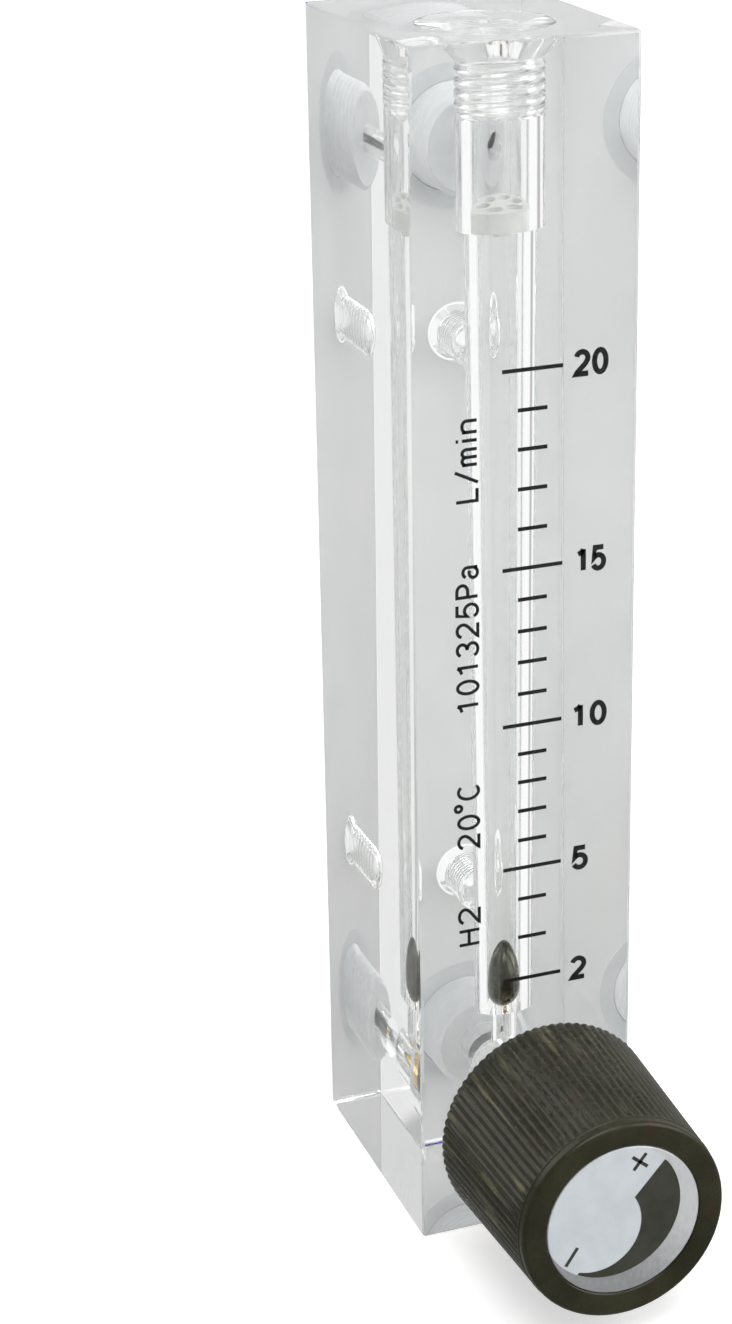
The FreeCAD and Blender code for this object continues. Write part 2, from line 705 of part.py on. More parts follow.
SHANK = "(port_bore_diameter / 2 - thread_clearance)"
TUBE_WAY = "(tube_diameter / 2 + tube_clearance)"
BARREL_START = "(face_seal_thickness + fitting_hex_length)"
BARREL_END = "(face_seal_thickness + fitting_hex_length + barrel_length)"
SEAL_START = "(tube_stop_height + tube_seat_length)"
CLAW_START = "(tube_stop_height + tube_seat_length + tube_seal_length + seat_clearance)"
RETAINER_START = f"({BARREL_END} - retainer_length)"
CARTRIDGE = "(cartridge_bore_diameter / 2)"


def fitting_body(prefix, height):
    """The brass body: threaded shank, hexagon, barrel, and a bore stepped for tube and cartridge."""
    body = port_body(f"{prefix}_fitting_body", height)
    hex_head(body, "fitting_hex_flats", "face_seal_thickness", "fitting_hex_length", both_ends=True)
    middle = f"{BARREL_START} - fitting_hex_length / 2"
    profile = [
        ("0", "-fitting_thread_length"),
        (f"{SHANK} - fitting_foot_chamfer", "-fitting_thread_length"),
        (SHANK, "-fitting_thread_length + fitting_foot_chamfer"),
        (SHANK, middle),
        ("barrel_diameter / 2", middle),
        ("barrel_diameter / 2", f"{BARREL_END} - barrel_round"),
        ("barrel_diameter / 2 - barrel_round", BARREL_END),
        ("0", BARREL_END),
    ]
    turned(body, "shank_and_barrel", outline(body, "shank_profile", "XZ_Plane", profile))
    bore = [
        ("0", "-fitting_thread_length"),
        ("fitting_bore_diameter / 2", "-fitting_thread_length"),
        ("fitting_bore_diameter / 2", "tube_stop_height"),
        (TUBE_WAY, "tube_stop_height"),
        (TUBE_WAY, SEAL_START),
        (CARTRIDGE, SEAL_START),
        (CARTRIDGE, BARREL_END),
        ("0", BARREL_END),
    ]
    turned(body, "tube_bore", outline(body, "tube_bore_profile", "XZ_Plane", bore), cut=True)


def face_seal(prefix, height):
    """The flat rubber ring between the hexagon and the block."""
    body = port_body(f"{prefix}_face_seal", height)
    ring("seal_ring", body, "(port_bore_diameter / 2 + port_chamfer)", "(face_seal_diameter / 2)",
         "0", "face_seal_thickness")


def tube_seal(prefix, height):
    """The rubber ring at the bottom of the cartridge, with a lip that meets the tube."""
    body = port_body(f"{prefix}_tube_seal", height)
    lip = f"{TUBE_WAY} + tube_seal_lip"
    end = f"{SEAL_START} + tube_seal_length"
    profile = [
        (TUBE_WAY, SEAL_START),
        (CARTRIDGE, SEAL_START),
        (CARTRIDGE, end),
        (f"{CARTRIDGE} - tube_seal_shoulder", end),
        (lip, f"{end} - tube_seal_lip"),
        (TUBE_WAY, f"{end} - tube_seal_edge"),
    ]
    turned(body, "lip_ring", outline(body, "lip_profile", "XZ_Plane", profile))


def claw_ring(prefix, height):
    """The spring-steel ring whose teeth lean in and hold the tube."""
    body = port_body(f"{prefix}_claw_ring", height)
    inner = "claw_inner_diameter / 2"
    hinge = f"{CARTRIDGE} - claw_rim_width"
    top = f"{CLAW_START} + claw_drop"
    profile = [
        (inner, CLAW_START),
        (hinge, top),
        (CARTRIDGE, top),
        (CARTRIDGE, f"{top} + claw_thickness"),
        (hinge, f"{top} + claw_thickness"),
        (inner, f"{CLAW_START} + claw_thickness"),
    ]
    turned(body, "cone", outline(body, "cone_profile", "XZ_Plane", profile))
    half = "claw_slot_width / 2"
    start = f"{inner} - cut_overrun"
    slot = [(start, f"-{half}"), (hinge, f"-{half}"), (hinge, half), (start, half)]
    sketch = outline(body, "slot_outline", "XY_Plane", slot, CLAW_START)
    cut = pocketed(body, "slot", sketch, "claw_drop + claw_thickness", reverse=True)
    around(body, "teeth", cut, "claw_teeth")


def retainer(prefix, height):
    """The ring pressed into the barrel, whose throat keeps the collet in."""
    body = port_body(f"{prefix}_retainer", height)
    throat = "retainer_throat_diameter / 2"
    shelf = f"{BARREL_END} - retainer_throat_length"
    profile = [
        (f"{CARTRIDGE} - retainer_skirt_wall", RETAINER_START),
        (CARTRIDGE, RETAINER_START),
        (CARTRIDGE, BARREL_END),
        (f"{throat} + retainer_chamfer", BARREL_END),
        (throat, f"{BARREL_END} - retainer_chamfer"),
        (throat, shelf),
        (f"{CARTRIDGE} - retainer_skirt_wall", shelf),
    ]
    turned(body, "retainer_ring", outline(body, "retainer_profile", "XZ_Plane", profile))


def collet(prefix, height):
    """The release collet: a slotted sleeve with a barb inside and a round flange to push."""
    body = port_body(f"{prefix}_collet", height)
    sleeve = "collet_diameter / 2"
    barb = "collet_barb_diameter / 2"
    catch = f"({BARREL_END} - retainer_throat_length - seat_clearance)"
    start = f"({catch} - collet_barb_length)"
    flange = f"({BARREL_END} + collet_gap)"
    end = f"{flange} + collet_flange_thickness"
    profile = [
        (TUBE_WAY, start),
        (f"{barb} - collet_barb_chamfer", start),
        (barb, f"{start} + collet_barb_chamfer"),
        (barb, catch),
        (sleeve, catch),
        (sleeve, flange),
        ("collet_flange_diameter / 2", flange),
        ("collet_flange_diameter / 2", end),
        (f"{TUBE_WAY} + collet_mouth_flare", end),
        (TUBE_WAY, f"{end} - collet_mouth_depth"),
    ]
    turned(body, "sleeve_and_flange", outline(body, "collet_profile", "XZ_Plane", profile))
    rim = value("collet_flange_diameter / 2")
    edge_broken(
        body, "flange_round", "Fillet",
        lambda edge: abs(edge.BoundBox.XMax - rim) < SMALL and edge.Closed,
        "collet_flange_round",
    )
    half = "collet_slot_width / 2"
    reach = f"{barb} + cut_overrun"
    slot = [("0", f"-{half}"), (reach, f"-{half}"), (reach, half), ("0", half)]
    sketch = outline(body, "slot_outline", "XY_Plane", slot, start)
    cut = pocketed(body, "slot", sketch, "collet_slot_length", reverse=True)
    around(body, "slots", cut, "collet_slot_count")


acrylic_body()
rear_film()
top_plug()
metering_float()
float_stop()
bonnet()
bonnet_seal()
valve_stem()
stem_seal()
knob()
knob_insert()
knob_label()
for prefix, height in (("outlet", OUTLET_HEIGHT), ("inlet", "valve_height")):
    fitting_body(prefix, height)
    face_seal(prefix, height)
    tube_seal(prefix, height)
    claw_ring(prefix, height)
    retainer(prefix, height)
    collet(prefix, height)
document.recompute()

for item in document.Objects:
    if "Invalid" in item.State or "Error" in item.State:
        raise ValueError(f"{item.Label} failed: {item.State}")
os.makedirs("parts", exist_ok=True)
for body in bodies:
    shape = body.Shape
    if shape.isNull() or not shape.isValid() or len(shape.Solids) != 1:
        raise ValueError(f"{body.Label} isn't one valid solid")
    shape.exportStep(f"parts/{body.Label}.step")
    print(f"{body.Label}: {shape.Volume:.1f} mm3")
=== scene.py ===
import math

import bmesh
import bpy
from mathutils import Matrix, Vector


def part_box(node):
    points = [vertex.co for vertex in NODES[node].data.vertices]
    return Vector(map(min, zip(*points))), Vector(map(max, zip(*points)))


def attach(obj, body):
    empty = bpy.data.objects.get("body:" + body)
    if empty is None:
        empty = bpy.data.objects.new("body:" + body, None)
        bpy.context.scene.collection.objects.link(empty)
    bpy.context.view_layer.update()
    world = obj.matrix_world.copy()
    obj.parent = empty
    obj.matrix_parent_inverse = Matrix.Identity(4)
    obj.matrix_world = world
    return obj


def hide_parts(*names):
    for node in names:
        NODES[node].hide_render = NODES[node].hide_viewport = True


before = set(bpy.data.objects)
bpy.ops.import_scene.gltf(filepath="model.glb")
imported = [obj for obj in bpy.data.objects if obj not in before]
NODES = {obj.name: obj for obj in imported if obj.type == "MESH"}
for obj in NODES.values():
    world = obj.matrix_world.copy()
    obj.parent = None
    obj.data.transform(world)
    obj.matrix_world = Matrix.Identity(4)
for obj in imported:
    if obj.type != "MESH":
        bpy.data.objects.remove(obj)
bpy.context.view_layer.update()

MM = 0.001
TAU = 2 * math.pi


# ---------------------------------------------------------------- places, read from the frame (mm)

def node_box(node):
    """A CAD node's lowest and highest corners in millimetres."""
    low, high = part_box(node)
    return low / MM, high / MM


BLOCK_LOW, BLOCK_HIGH = node_box("acrylic_body")
PLUG_LOW, PLUG_HIGH = node_box("top_plug")
FLOAT_LOW, FLOAT_HIGH = node_box("float")
KNOB_LOW, KNOB_HIGH = node_box("knob")
LABEL_LOW, LABEL_HIGH = node_box("knob_label")
BORE_Y = (PLUG_LOW.y + PLUG_HIGH.y) / 2
VALVE_Z = (KNOB_LOW.z + KNOB_HIGH.z) / 2
OUTLET_Z = sum(c.z for c in node_box("outlet_collet")) / 2
FRONT_Y, REAR_Y = BLOCK_LOW.y, BLOCK_HIGH.y
TOP_Z = BLOCK_HIGH.z
LOW_HOLE_Z, HIGH_HOLE_Z = 39.0, 111.0

FILM_CONTACT = 0.02      # how far the clear block reaches into the film behind it
PIPE_PITCH, PIPE_DEPTH, PLUG_DEPTH = 1.337, 0.7, 0.27
BOLT_PITCH, BOLT_DEPTH = 1.0, 0.5


# ---------------------------------------------------------------- camera

def add_camera():
    """A long lens from the upper left, with the part held right of centre as in the picture."""
    place = Vector((-121.72, -307.61, 203.79)) * MM
    forward = Vector((0.31241, 0.88978, -0.33271)).normalized()
    up = Vector((0.12832, 0.3075, 0.94286))
    up = (up - forward * up.dot(forward)).normalized()
    right = forward.cross(up)
    camera = bpy.data.objects.new("camera", bpy.data.cameras.new("camera"))
    camera.matrix_world = Matrix((
        (right.x, up.x, -forward.x, place.x),
        (right.y, up.y, -forward.y, place.y),
        (right.z, up.z, -forward.z, place.z),
        (0, 0, 0, 1),
    ))
    camera.data.sensor_fit = "AUTO"
    camera.data.sensor_width = 36
    camera.data.lens = 77.62
    camera.data.shift_y = -0.0997
    camera.data.clip_start = 0.01
    camera.data.clip_end = 50
    bpy.context.scene.collection.objects.link(camera)
    bpy.context.scene.camera = camera


# ---------------------------------------------------------------- shader helpers

class Nodes:
    """A node tree and a few shorthands for procedural detail."""

    def __init__(self, tree, coords):
        self.tree = tree
        tree.nodes.clear()
        self.coords = self.node("ShaderNodeTexCoord").outputs[coords]

    def link(self, source, target):
        self.tree.links.new(source, target)

    def node(self, kind, **settings):
        made = self.tree.nodes.new(kind)
        for name, value in settings.items():
            setattr(made, name, value)
        return made

    def noise(self, size, detail=3.0, stretch=(1, 1, 1)):
        """Noise whose grains are about size millimetres across, as a value from 0 to 1."""
        grain = 1 / (size * MM)
        scaled = self.node("ShaderNodeMapping")
        scaled.inputs["Scale"].default_value = tuple(grain * share for share in stretch)
        self.link(self.coords, scaled.inputs["Vector"])
        made = self.node("ShaderNodeTexNoise")
        made.inputs["Scale"].default_value = 1.0
        made.inputs["Detail"].default_value = detail
        made.inputs["Roughness"].default_value = 0.55
        self.link(scaled.outputs[0], made.inputs["Vector"])
        return made.outputs["Fac"]

    def ramp(self, value, low, high, at=(0.3, 0.7)):
        """The value mapped smoothly onto a range of numbers."""
        made = self.node("ShaderNodeMapRange", interpolation_type="SMOOTHSTEP")
        made.inputs["From Min"].default_value, made.inputs["From Max"].default_value = at
        made.inputs["To Min"].default_value, made.inputs["To Max"].default_value = low, high
        self.link(value, made.inputs["Value"])
        return made.outputs["Result"]

    def math(self, operation, *values):
        """A sum on numbers and sockets."""
        made = self.node("ShaderNodeMath", operation=operation)
        for index, value in enumerate(values):
            if isinstance(value, (int, float)):
                made.inputs[index].default_value = value
            else:
                self.link(value, made.inputs[index])
        return made.outputs[0]

    def mix(self, factor, first, second):
        """Two colours mixed by a factor; each may be a tuple or a socket."""
        made = self.node("ShaderNodeMix", data_type="RGBA")
        self.link(factor, made.inputs[0])
        for index, color in ((6, first), (7, second)):
            if isinstance(color, tuple):
                made.inputs[index].default_value = (*color, 1)
            else:
                self.link(color, made.inputs[index])
        return made.outputs[2]

    def split(self):
        """The coordinates' X, Y and Z."""
        made = self.node("ShaderNodeSeparateXYZ")
        self.link(self.coords, made.inputs[0])
        return made.outputs


class Shader(Nodes):
    """A material with its Principled shader, whose sockets can be set by name."""

    def __init__(self, name, color, rough, **sockets):
        self.material = bpy.data.materials.new(name)
        self.material.use_nodes = True
        super().__init__(self.material.node_tree, "Object")
        self.out = self.node("ShaderNodeOutputMaterial")
        self.bsdf = self.node("ShaderNodeBsdfPrincipled")
        self.link(self.bsdf.outputs[0], self.out.inputs["Surface"])
        self.bsdf.inputs["Base Color"].default_value = (*color, 1)
        self.bsdf.inputs["Roughness"].default_value = rough
        for socket, value in sockets.items():
            self.bsdf.inputs[socket.replace("_", " ")].default_value = value

    def color(self, source):
        self.link(source, self.bsdf.inputs["Base Color"])

    def rough(self, source):
        self.link(source, self.bsdf.inputs["Roughness"])

    def bump(self, height, depth, strength):
        """A bump of depth millimetres from a height of 0 to 1."""
        made = self.node("ShaderNodeBump")
        made.inputs["Strength"].default_value = strength
        made.inputs["Distance"].default_value = depth * MM
        self.link(height, made.inputs["Height"])
        self.link(made.outputs[0], self.bsdf.inputs["Normal"])


# ---------------------------------------------------------------- materials

ACRYLIC_IOR = 1.49
TAPE_END = 17.3          # where a fitting's taped shank gives way to bare metal, along Y
BRASS_TONES = (0.78, 0.60, 0.29), (0.50, 0.34, 0.13)


def clear_acrylic():
    """Polished clear acrylic with a faint haze and the slightest waviness."""
    m = Shader("clear_acrylic", (0.985, 0.992, 0.988), 0.0, Transmission_Weight=1.0, IOR=ACRYLIC_IOR)
    m.rough(m.ramp(m.noise(9.0, 4.0), 0.0, 0.035, (0.35, 0.8)))
    m.bump(m.noise(6.0, 2.0), 0.004, 0.3)
    return m.material


def bored_acrylic():
    """Drilled and reamed acrylic: clear, with fine marks drawn along the bore."""
    m = Shader("bored_acrylic", (0.975, 0.985, 0.98), 0.05, Transmission_Weight=1.0, IOR=ACRYLIC_IOR)
    m.rough(m.ramp(m.noise(0.6, 4.0, stretch=(1, 1, 0.08)), 0.01, 0.09))
    m.bump(m.noise(0.5, 3.0, stretch=(1, 1, 0.06)), 0.01, 0.35)
    return m.material


def tapped_acrylic():
    """Cut threads in acrylic: whitened and frosted by the tap."""
    m = Shader("tapped_acrylic", (0.97, 0.98, 0.975), 0.12, Transmission_Weight=0.94, IOR=ACRYLIC_IOR)
    m.rough(m.ramp(m.noise(0.8, 3.0, stretch=(1, 1, 2.5)), 0.05, 0.16))
    m.bump(m.noise(0.9, 2.0, stretch=(1, 1, 3)), 0.01, 0.25)
    return m.material


def sealed_thread():
    """The fittings' threads seen through the acrylic: packed with white sealing tape, pale and matt."""
    m = Shader("sealed_thread", (0.82, 0.84, 0.84), 0.45, Transmission_Weight=0.12, IOR=ACRYLIC_IOR)
    m.color(m.mix(m.ramp(m.noise(2.4, 3.0), 0, 1), (0.93, 0.95, 0.955), (0.87, 0.9, 0.91)))
    m.rough(m.ramp(m.noise(1.2, 3.0), 0.35, 0.6))
    m.bump(m.noise(1.0, 3.0), 0.01, 0.3)
    return m.material


def white_film():
    """Matte white vinyl film with a soft orange-peel surface."""
    m = Shader("white_film", (0.9, 0.905, 0.905), 0.45, Specular_IOR_Level=0.4)
    m.color(m.mix(m.ramp(m.noise(14.0, 3.0), 0, 1), (0.955, 0.96, 0.955), (0.915, 0.925, 0.93)))
    m.rough(m.ramp(m.noise(1.5, 3.0), 0.38, 0.55))
    m.bump(m.noise(0.9, 3.0), 0.012, 0.5)
    return m.material


def turned_metal(name, bright, dark, taped=True):
    """Metal turned about Y: tarnish in clouds and fine tool rings. Where it is taped, the thread on the side
    of the block is wrapped in white sealing tape."""
    m = Shader(name, bright, 0.25, Metallic=1.0)
    tarnish = m.math("MULTIPLY", m.ramp(m.noise(4.5, 5.0), 0, 1), m.ramp(m.noise(1.1, 4.0), 0.35, 1))
    m.color(m.mix(tarnish, bright, dark))
    m.rough(m.ramp(m.noise(0.8, 4.0), 0.16, 0.34))
    rings = m.math("MULTIPLY", m.noise(0.16, 2.0, stretch=(0.12, 1, 0.12)), 0.7)
    scuffs = m.math("MULTIPLY", m.noise(0.5, 5.0), 0.5)
    m.bump(m.math("ADD", rings, scuffs), 0.02, 0.5)
    if taped:
        tape = m.node("ShaderNodeBsdfPrincipled")
        white = m.mix(m.ramp(m.noise(1.6, 4.0), 0, 1), (0.86, 0.87, 0.87), (0.74, 0.76, 0.77))
        m.link(white, tape.inputs["Base Color"])
        tape.inputs["Roughness"].default_value = 0.6
        wrapped = m.node("ShaderNodeMixShader")
        m.link(m.math("LESS_THAN", m.split()[1], TAPE_END * MM), wrapped.inputs[0])
        m.link(m.bsdf.outputs[0], wrapped.inputs[1])
        m.link(tape.outputs[0], wrapped.inputs[2])
        m.link(wrapped.outputs[0], m.out.inputs["Surface"])
    return m.material


def black_rubber():
    """Black rubber, slightly dusty."""
    m = Shader("black_rubber", (0.018, 0.018, 0.018), 0.5, Specular_IOR_Level=0.4)
    m.color(m.mix(m.ramp(m.noise(1.2, 4.0), 0, 1), (0.014, 0.014, 0.014), (0.03, 0.029, 0.027)))
    m.rough(m.ramp(m.noise(0.5, 3.0), 0.42, 0.62))
    m.bump(m.noise(0.3, 4.0), 0.015, 0.5)
    return m.material


def blue_plastic():
    """Glossy deep-blue moulded plastic with faint scuffs on the face that is pushed."""
    m = Shader("blue_plastic", (0.004, 0.008, 0.56), 0.16, Coat_Weight=0.3, Coat_Roughness=0.08)
    m.color(m.mix(m.ramp(m.noise(5.0, 4.0), 0, 1), (0.003, 0.006, 0.62), (0.006, 0.014, 0.47)))
    m.rough(m.ramp(m.noise(1.2, 5.0), 0.12, 0.26))
    m.bump(m.noise(1.6, 3.0), 0.01, 0.35)
    return m.material


def knob_plastic():
    """Dark olive-brown moulded plastic with a reddish cast in places, and pale streaks along the ribs."""
    m = Shader("knob_plastic", (0.02, 0.02, 0.01), 0.3, Specular_IOR_Level=0.2)
    cloud = m.ramp(m.noise(7.0, 4.0), 0, 1)
    reddish = m.ramp(m.noise(5.0, 3.0), 0, 0.6, (0.58, 0.72))
    on_ribs = m.ramp(m.split()[1], 0, 1, ((KNOB_LOW.y + 2.2) * MM, (KNOB_LOW.y + 3.0) * MM))
    streak = m.math("MULTIPLY", m.ramp(m.noise(0.8, 3.0, stretch=(1, 0.05, 1)), 0, 1, (0.56, 0.72)), on_ribs)
    base = m.mix(cloud, (0.014, 0.014, 0.006), (0.025, 0.025, 0.012))
    base = m.mix(reddish, base, (0.032, 0.017, 0.012))
    m.color(m.mix(streak, base, (0.09, 0.082, 0.045)))
    m.rough(m.ramp(m.noise(1.5, 4.0), 0.2, 0.32))
    m.bump(m.noise(0.9, 2.0), 0.006, 0.25)
    return m.material


def float_metal():
    """Dark anodised aluminium with a polished sheen."""
    m = Shader("float_metal", (0.06, 0.06, 0.045), 0.25, Metallic=0.6)
    m.color(m.mix(m.ramp(m.noise(1.5, 3.0), 0, 1), (0.05, 0.05, 0.036), (0.085, 0.083, 0.065)))
    m.rough(m.ramp(m.noise(0.5, 3.0), 0.16, 0.3))
    m.bump(m.noise(0.25, 2.0, stretch=(0.1, 0.1, 1)), 0.01, 0.4)
    return m.material


def white_plastic():
    """Turned white plastic."""
    m = Shader("white_plastic", (0.85, 0.85, 0.83), 0.45)
    m.color(m.mix(m.ramp(m.noise(2.0, 3.0), 0, 1), (0.88, 0.88, 0.86), (0.8, 0.8, 0.78)))
    m.bump(m.noise(0.2, 2.0, stretch=(0.1, 0.1, 1)), 0.01, 0.4)
    m.rough(m.ramp(m.noise(0.7, 3.0), 0.35, 0.55))
    return m.material


def spring_steel():
    """Bright spring steel."""
    m = Shader("spring_steel", (0.55, 0.55, 0.54), 0.25, Metallic=1.0)
    m.color(m.mix(m.ramp(m.noise(1.0, 4.0), 0, 1), (0.6, 0.6, 0.6), (0.4, 0.39, 0.37)))
    m.rough(m.ramp(m.noise(0.4, 4.0), 0.18, 0.34))
    m.bump(m.noise(0.15, 3.0), 0.005, 0.4)
    return m.material


def ink():
    """Screen-printed black ink, a little uneven in its gloss."""
    m = Shader("black_ink", (0.008, 0.008, 0.009), 0.45, Specular_IOR_Level=0.2)
    m.color(m.mix(m.ramp(m.noise(0.6, 3.0), 0, 1), (0.006, 0.006, 0.007), (0.016, 0.016, 0.017)))
    m.rough(m.ramp(m.noise(0.3, 3.0), 0.36, 0.55))
    m.bump(m.noise(0.12, 3.0), 0.003, 0.5)
    return m.material


def sweep_ink():
    """The label's dark grey print."""
    m = Shader("sweep_ink", (0.03, 0.03, 0.023), 0.4, Specular_IOR_Level=0.3)
    m.color(m.mix(m.ramp(m.noise(2.0, 3.0), 0, 1), (0.027, 0.027, 0.02), (0.037, 0.037, 0.029)))
    m.rough(m.ramp(m.noise(0.6, 3.0), 0.32, 0.48))
    m.bump(m.noise(0.2, 3.0), 0.004, 0.5)
    return m.material


SHADE_BAND_LEFT, SHADE_BAND_UP = 1.52, 1.54          # from the knob's axis to the centre of the painted shade stripe's inner curve
SHADE_BAND_START, SHADE_BAND_FULL = 8.68, 8.8        # that curve's radius, softened


def label_silver():
    """The label: pale satin silver, with a stripe of painted shade and painted reflection past the printed
    sweep's outer curve, lit by painted light towards its upper right.
    """
    m = Shader("label_silver", (0.62, 0.64, 0.68), 0.35, Metallic=0.25)
    x, _, z = m.split()
    across = m.math("ADD", x, SHADE_BAND_LEFT * MM)
    upward = m.math("SUBTRACT", z, (VALVE_Z + SHADE_BAND_UP) * MM)
    reach = m.math("SQRT", m.math("ADD", m.math("POWER", across, 2.0), m.math("POWER", upward, 2.0)))
    # Painted shade and painted reflection: a darker stripe past the sweep's outer curve stands in for the
    # shaded recess wall and what it reflects.
    painted_shade_band = m.ramp(reach, 0, 1, (SHADE_BAND_START * MM, SHADE_BAND_FULL * MM))
    # Painted light: the darker stripe is lighter towards the upper right and darker towards the lower left.
    # grain carries this painted light as well as the brushed noise.
    painted_light_slope = m.ramp(m.math("ADD", x, m.math("SUBTRACT", z, VALVE_Z * MM)), 0, 1, (-9 * MM, 9 * MM))
    grain = m.math("ADD", m.ramp(m.noise(0.5, 4.0, stretch=(1, 1, 0.5)), -0.12, 0.12), painted_light_slope)
    # Painted shade: the darker stripe's tones, from dark to lighter silver.
    painted_shade_tone = m.mix(grain, (0.24, 0.245, 0.25), (0.5, 0.51, 0.515))
    fair = m.mix(m.ramp(m.noise(3.0, 4.0), 0, 1), (0.57, 0.605, 0.63), (0.52, 0.555, 0.58))
    m.color(m.mix(painted_shade_band, fair, painted_shade_tone))
    m.rough(m.ramp(m.noise(0.5, 4.0), 0.3, 0.46))
    m.bump(m.noise(0.5, 3.0), 0.003, 0.3)
    return m.material


def floor_material():
    """A pale floor."""
    m = Shader("floor", (0.9, 0.9, 0.9), 0.9, Specular_IOR_Level=0.1)
    m.color(m.mix(m.ramp(m.noise(60.0, 2.0), 0, 1), (0.9, 0.9, 0.9), (0.88, 0.88, 0.88)))
    return m


CLEAR, BORED, TAPPED, SEALED = clear_acrylic(), bored_acrylic(), tapped_acrylic(), sealed_thread()
FILM, RUBBER, BLUE, KNOB = white_film(), black_rubber(), blue_plastic(), knob_plastic()
BRASS = turned_metal("brass", *BRASS_TONES)
GLAND = turned_metal("gland_brass", *BRASS_TONES, taped=False)
PLATED = turned_metal("plated_brass", (0.80, 0.74, 0.60), (0.56, 0.47, 0.33))
FLOAT, WHITE, STEEL = float_metal(), white_plastic(), spring_steel()
INK, KNOB_INK, SILVER = ink(), sweep_ink(), label_silver()


# ---------------------------------------------------------------- mesh helpers

def new_object(name, mesh, *materials):
    """An object in the scene, with its mesh's material slots filled in order."""
    made = bpy.data.objects.new(name, mesh)
    for material in materials:
        mesh.materials.append(material)
    bpy.context.scene.collection.objects.link(made)
    return made


def axis_matrix(axis, y, z):
    """Turns a lathe's own Z to the named axis and moves it to a point on the plane x = 0, in millimetres."""
    turn = {"+z": Matrix.Identity(4), "-y": Matrix.Rotation(math.pi / 2, 4, "X"),
            "+y": Matrix.Rotation(-math.pi / 2, 4, "X")}[axis]
    return Matrix.Translation(Vector((0, y, z)) * MM) @ turn


def thread_rows(start, end, radius, depth, pitch, count, rows_per_turn, grid):
    """Rows of a helical thread: each column of a row is a little higher than the one before."""
    total = math.ceil((end - start) / pitch * rows_per_turn)
    made = []
    for row in range(-rows_per_turn, total + rows_per_turn + 1):
        ring = []
        for column in range(count):
            height = start + pitch * (row / rows_per_turn + column / count)
            ease = min(1, max(0, (height - start) / (pitch * 0.5)), max(0, (end - height) / (pitch * 0.5)))
            form = 0.5 - 0.5 * math.cos(TAU * row / rows_per_turn)
            ring.append(grid(radius + depth * ease * form, min(max(height, start), end), column))
        made.append(ring)
    return made


def lathe(name, profile, matrix, count=96, threads=None, shape=None):
    """A closed turned solid. A profile is (radius, height) pairs in millimetres that either starts and ends
    on the axis or closes on itself. threads maps the index of a profile point to (depth, pitch, rows per
    turn) for the stretch that follows, and shape(radius, angle, height) may move a point off the circle."""
    mesh = bpy.data.meshes.new(name)
    work = bmesh.new()

    def grid(radius, height, column):
        angle = TAU * column / count
        if shape:
            radius = shape(radius, angle, height)
        return work.verts.new((radius * math.cos(angle) * MM, radius * math.sin(angle) * MM, height * MM))

    def strip(low, high, open_seam=False):
        for column in range(count - 1 if open_seam else count):
            after = (column + 1) % count
            work.faces.new((low[column], low[after], high[after], high[column]))

    def threaded(start, end, radius, depth, pitch, rows_per_turn):
        rows = thread_rows(min(start, end), max(start, end), radius, depth, pitch, count, rows_per_turn, grid)
        last = len(rows) - 1
        for low, high in zip(rows, rows[1:]):
            strip(low, high, open_seam=True)
        for row in range(last):
            here, above = rows[row][-1], rows[row + 1][-1]
            turned = rows[min(row + rows_per_turn, last)][0]
            turned_above = rows[min(row + 1 + rows_per_turn, last)][0]
            corners = (here, turned, turned_above, above)
            work.faces.new((here, turned, above) if turned is turned_above else corners)

    threads = threads or {}
    previous, first = None, None
    for index, (radius, height) in enumerate(profile):
        on_axis = radius < 1e-6
        if on_axis:
            ring = work.verts.new((0, 0, height * MM))
        else:
            ring = [grid(radius, height, column) for column in range(count)]
        if previous is None:
            first = ring
        elif index - 1 in threads:
            threaded(profile[index - 1][1], height, radius, *threads[index - 1])
        elif not isinstance(previous, list):
            for column in range(count):
                work.faces.new((previous, ring[(column + 1) % count], ring[column]))
        elif on_axis:
            for column in range(count):
                work.faces.new((previous[column], previous[(column + 1) % count], ring))
        else:
            strip(previous, ring)
        previous = ring
    if isinstance(first, list) and isinstance(previous, list):
        strip(previous, first)
    bmesh.ops.remove_doubles(work, verts=work.verts, dist=2e-7)
    bmesh.ops.dissolve_degenerate(work, edges=work.edges, dist=1e-8)
    bmesh.ops.recalc_face_normals(work, faces=work.faces)
    work.to_mesh(mesh)
    work.free()
    mesh.transform(matrix)
    return new_object(name, mesh)


def smooth(piece, angle):
    """Smooth shading with the edges sharper than an angle kept sharp, and the flat faces kept truly flat."""
    piece.data.set_sharp_from_angle(angle=math.radians(angle))
    for face in piece.data.polygons:
        face.use_smooth = max(abs(part) for part in face.normal) < 0.99999


def cut(piece, cutter):
    """Cuts the cutter out of the piece and removes the cutter."""
    modifier = piece.modifiers.new("cut", "BOOLEAN")
    modifier.operation = "DIFFERENCE"
    modifier.solver = "MANIFOLD"
    modifier.object = cutter
    graph = bpy.context.evaluated_depsgraph_get()
    made = bpy.data.meshes.new_from_object(piece.evaluated_get(graph))
    piece.modifiers.clear()
    old = piece.data
    piece.data = made
    made.name = piece.name
    bpy.data.meshes.remove(old)
    bpy.data.objects.remove(cutter)


def dress(piece, body, slot, *replaced, angle=38):
    """Shades the piece, hangs it from the body it rides and hides the CAD nodes it stands for. slot is not
    used.
    """
    smooth(piece, angle)
    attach(piece, body)
    if replaced:
        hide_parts(*replaced)
    return piece


def chamfered_box(name, low, high, chamfer):
    """A box between two corners in millimetres, with every edge eased."""
    mesh = bpy.data.meshes.new(name)
    work = bmesh.new()
    bmesh.ops.create_cube(work, size=1)
    middle, size = (low + high) / 2, high - low
    for vert in work.verts:
        vert.co = Vector([(middle[i] + vert.co[i] * size[i]) * MM for i in range(3)])
    bmesh.ops.bevel(work, geom=work.edges[:], offset=chamfer * MM, segments=2, affect="EDGES", profile=0.6)
    work.to_mesh(mesh)
    work.free()
    return new_object(name, mesh)


# ---------------------------------------------------------------- the clear block and its plug

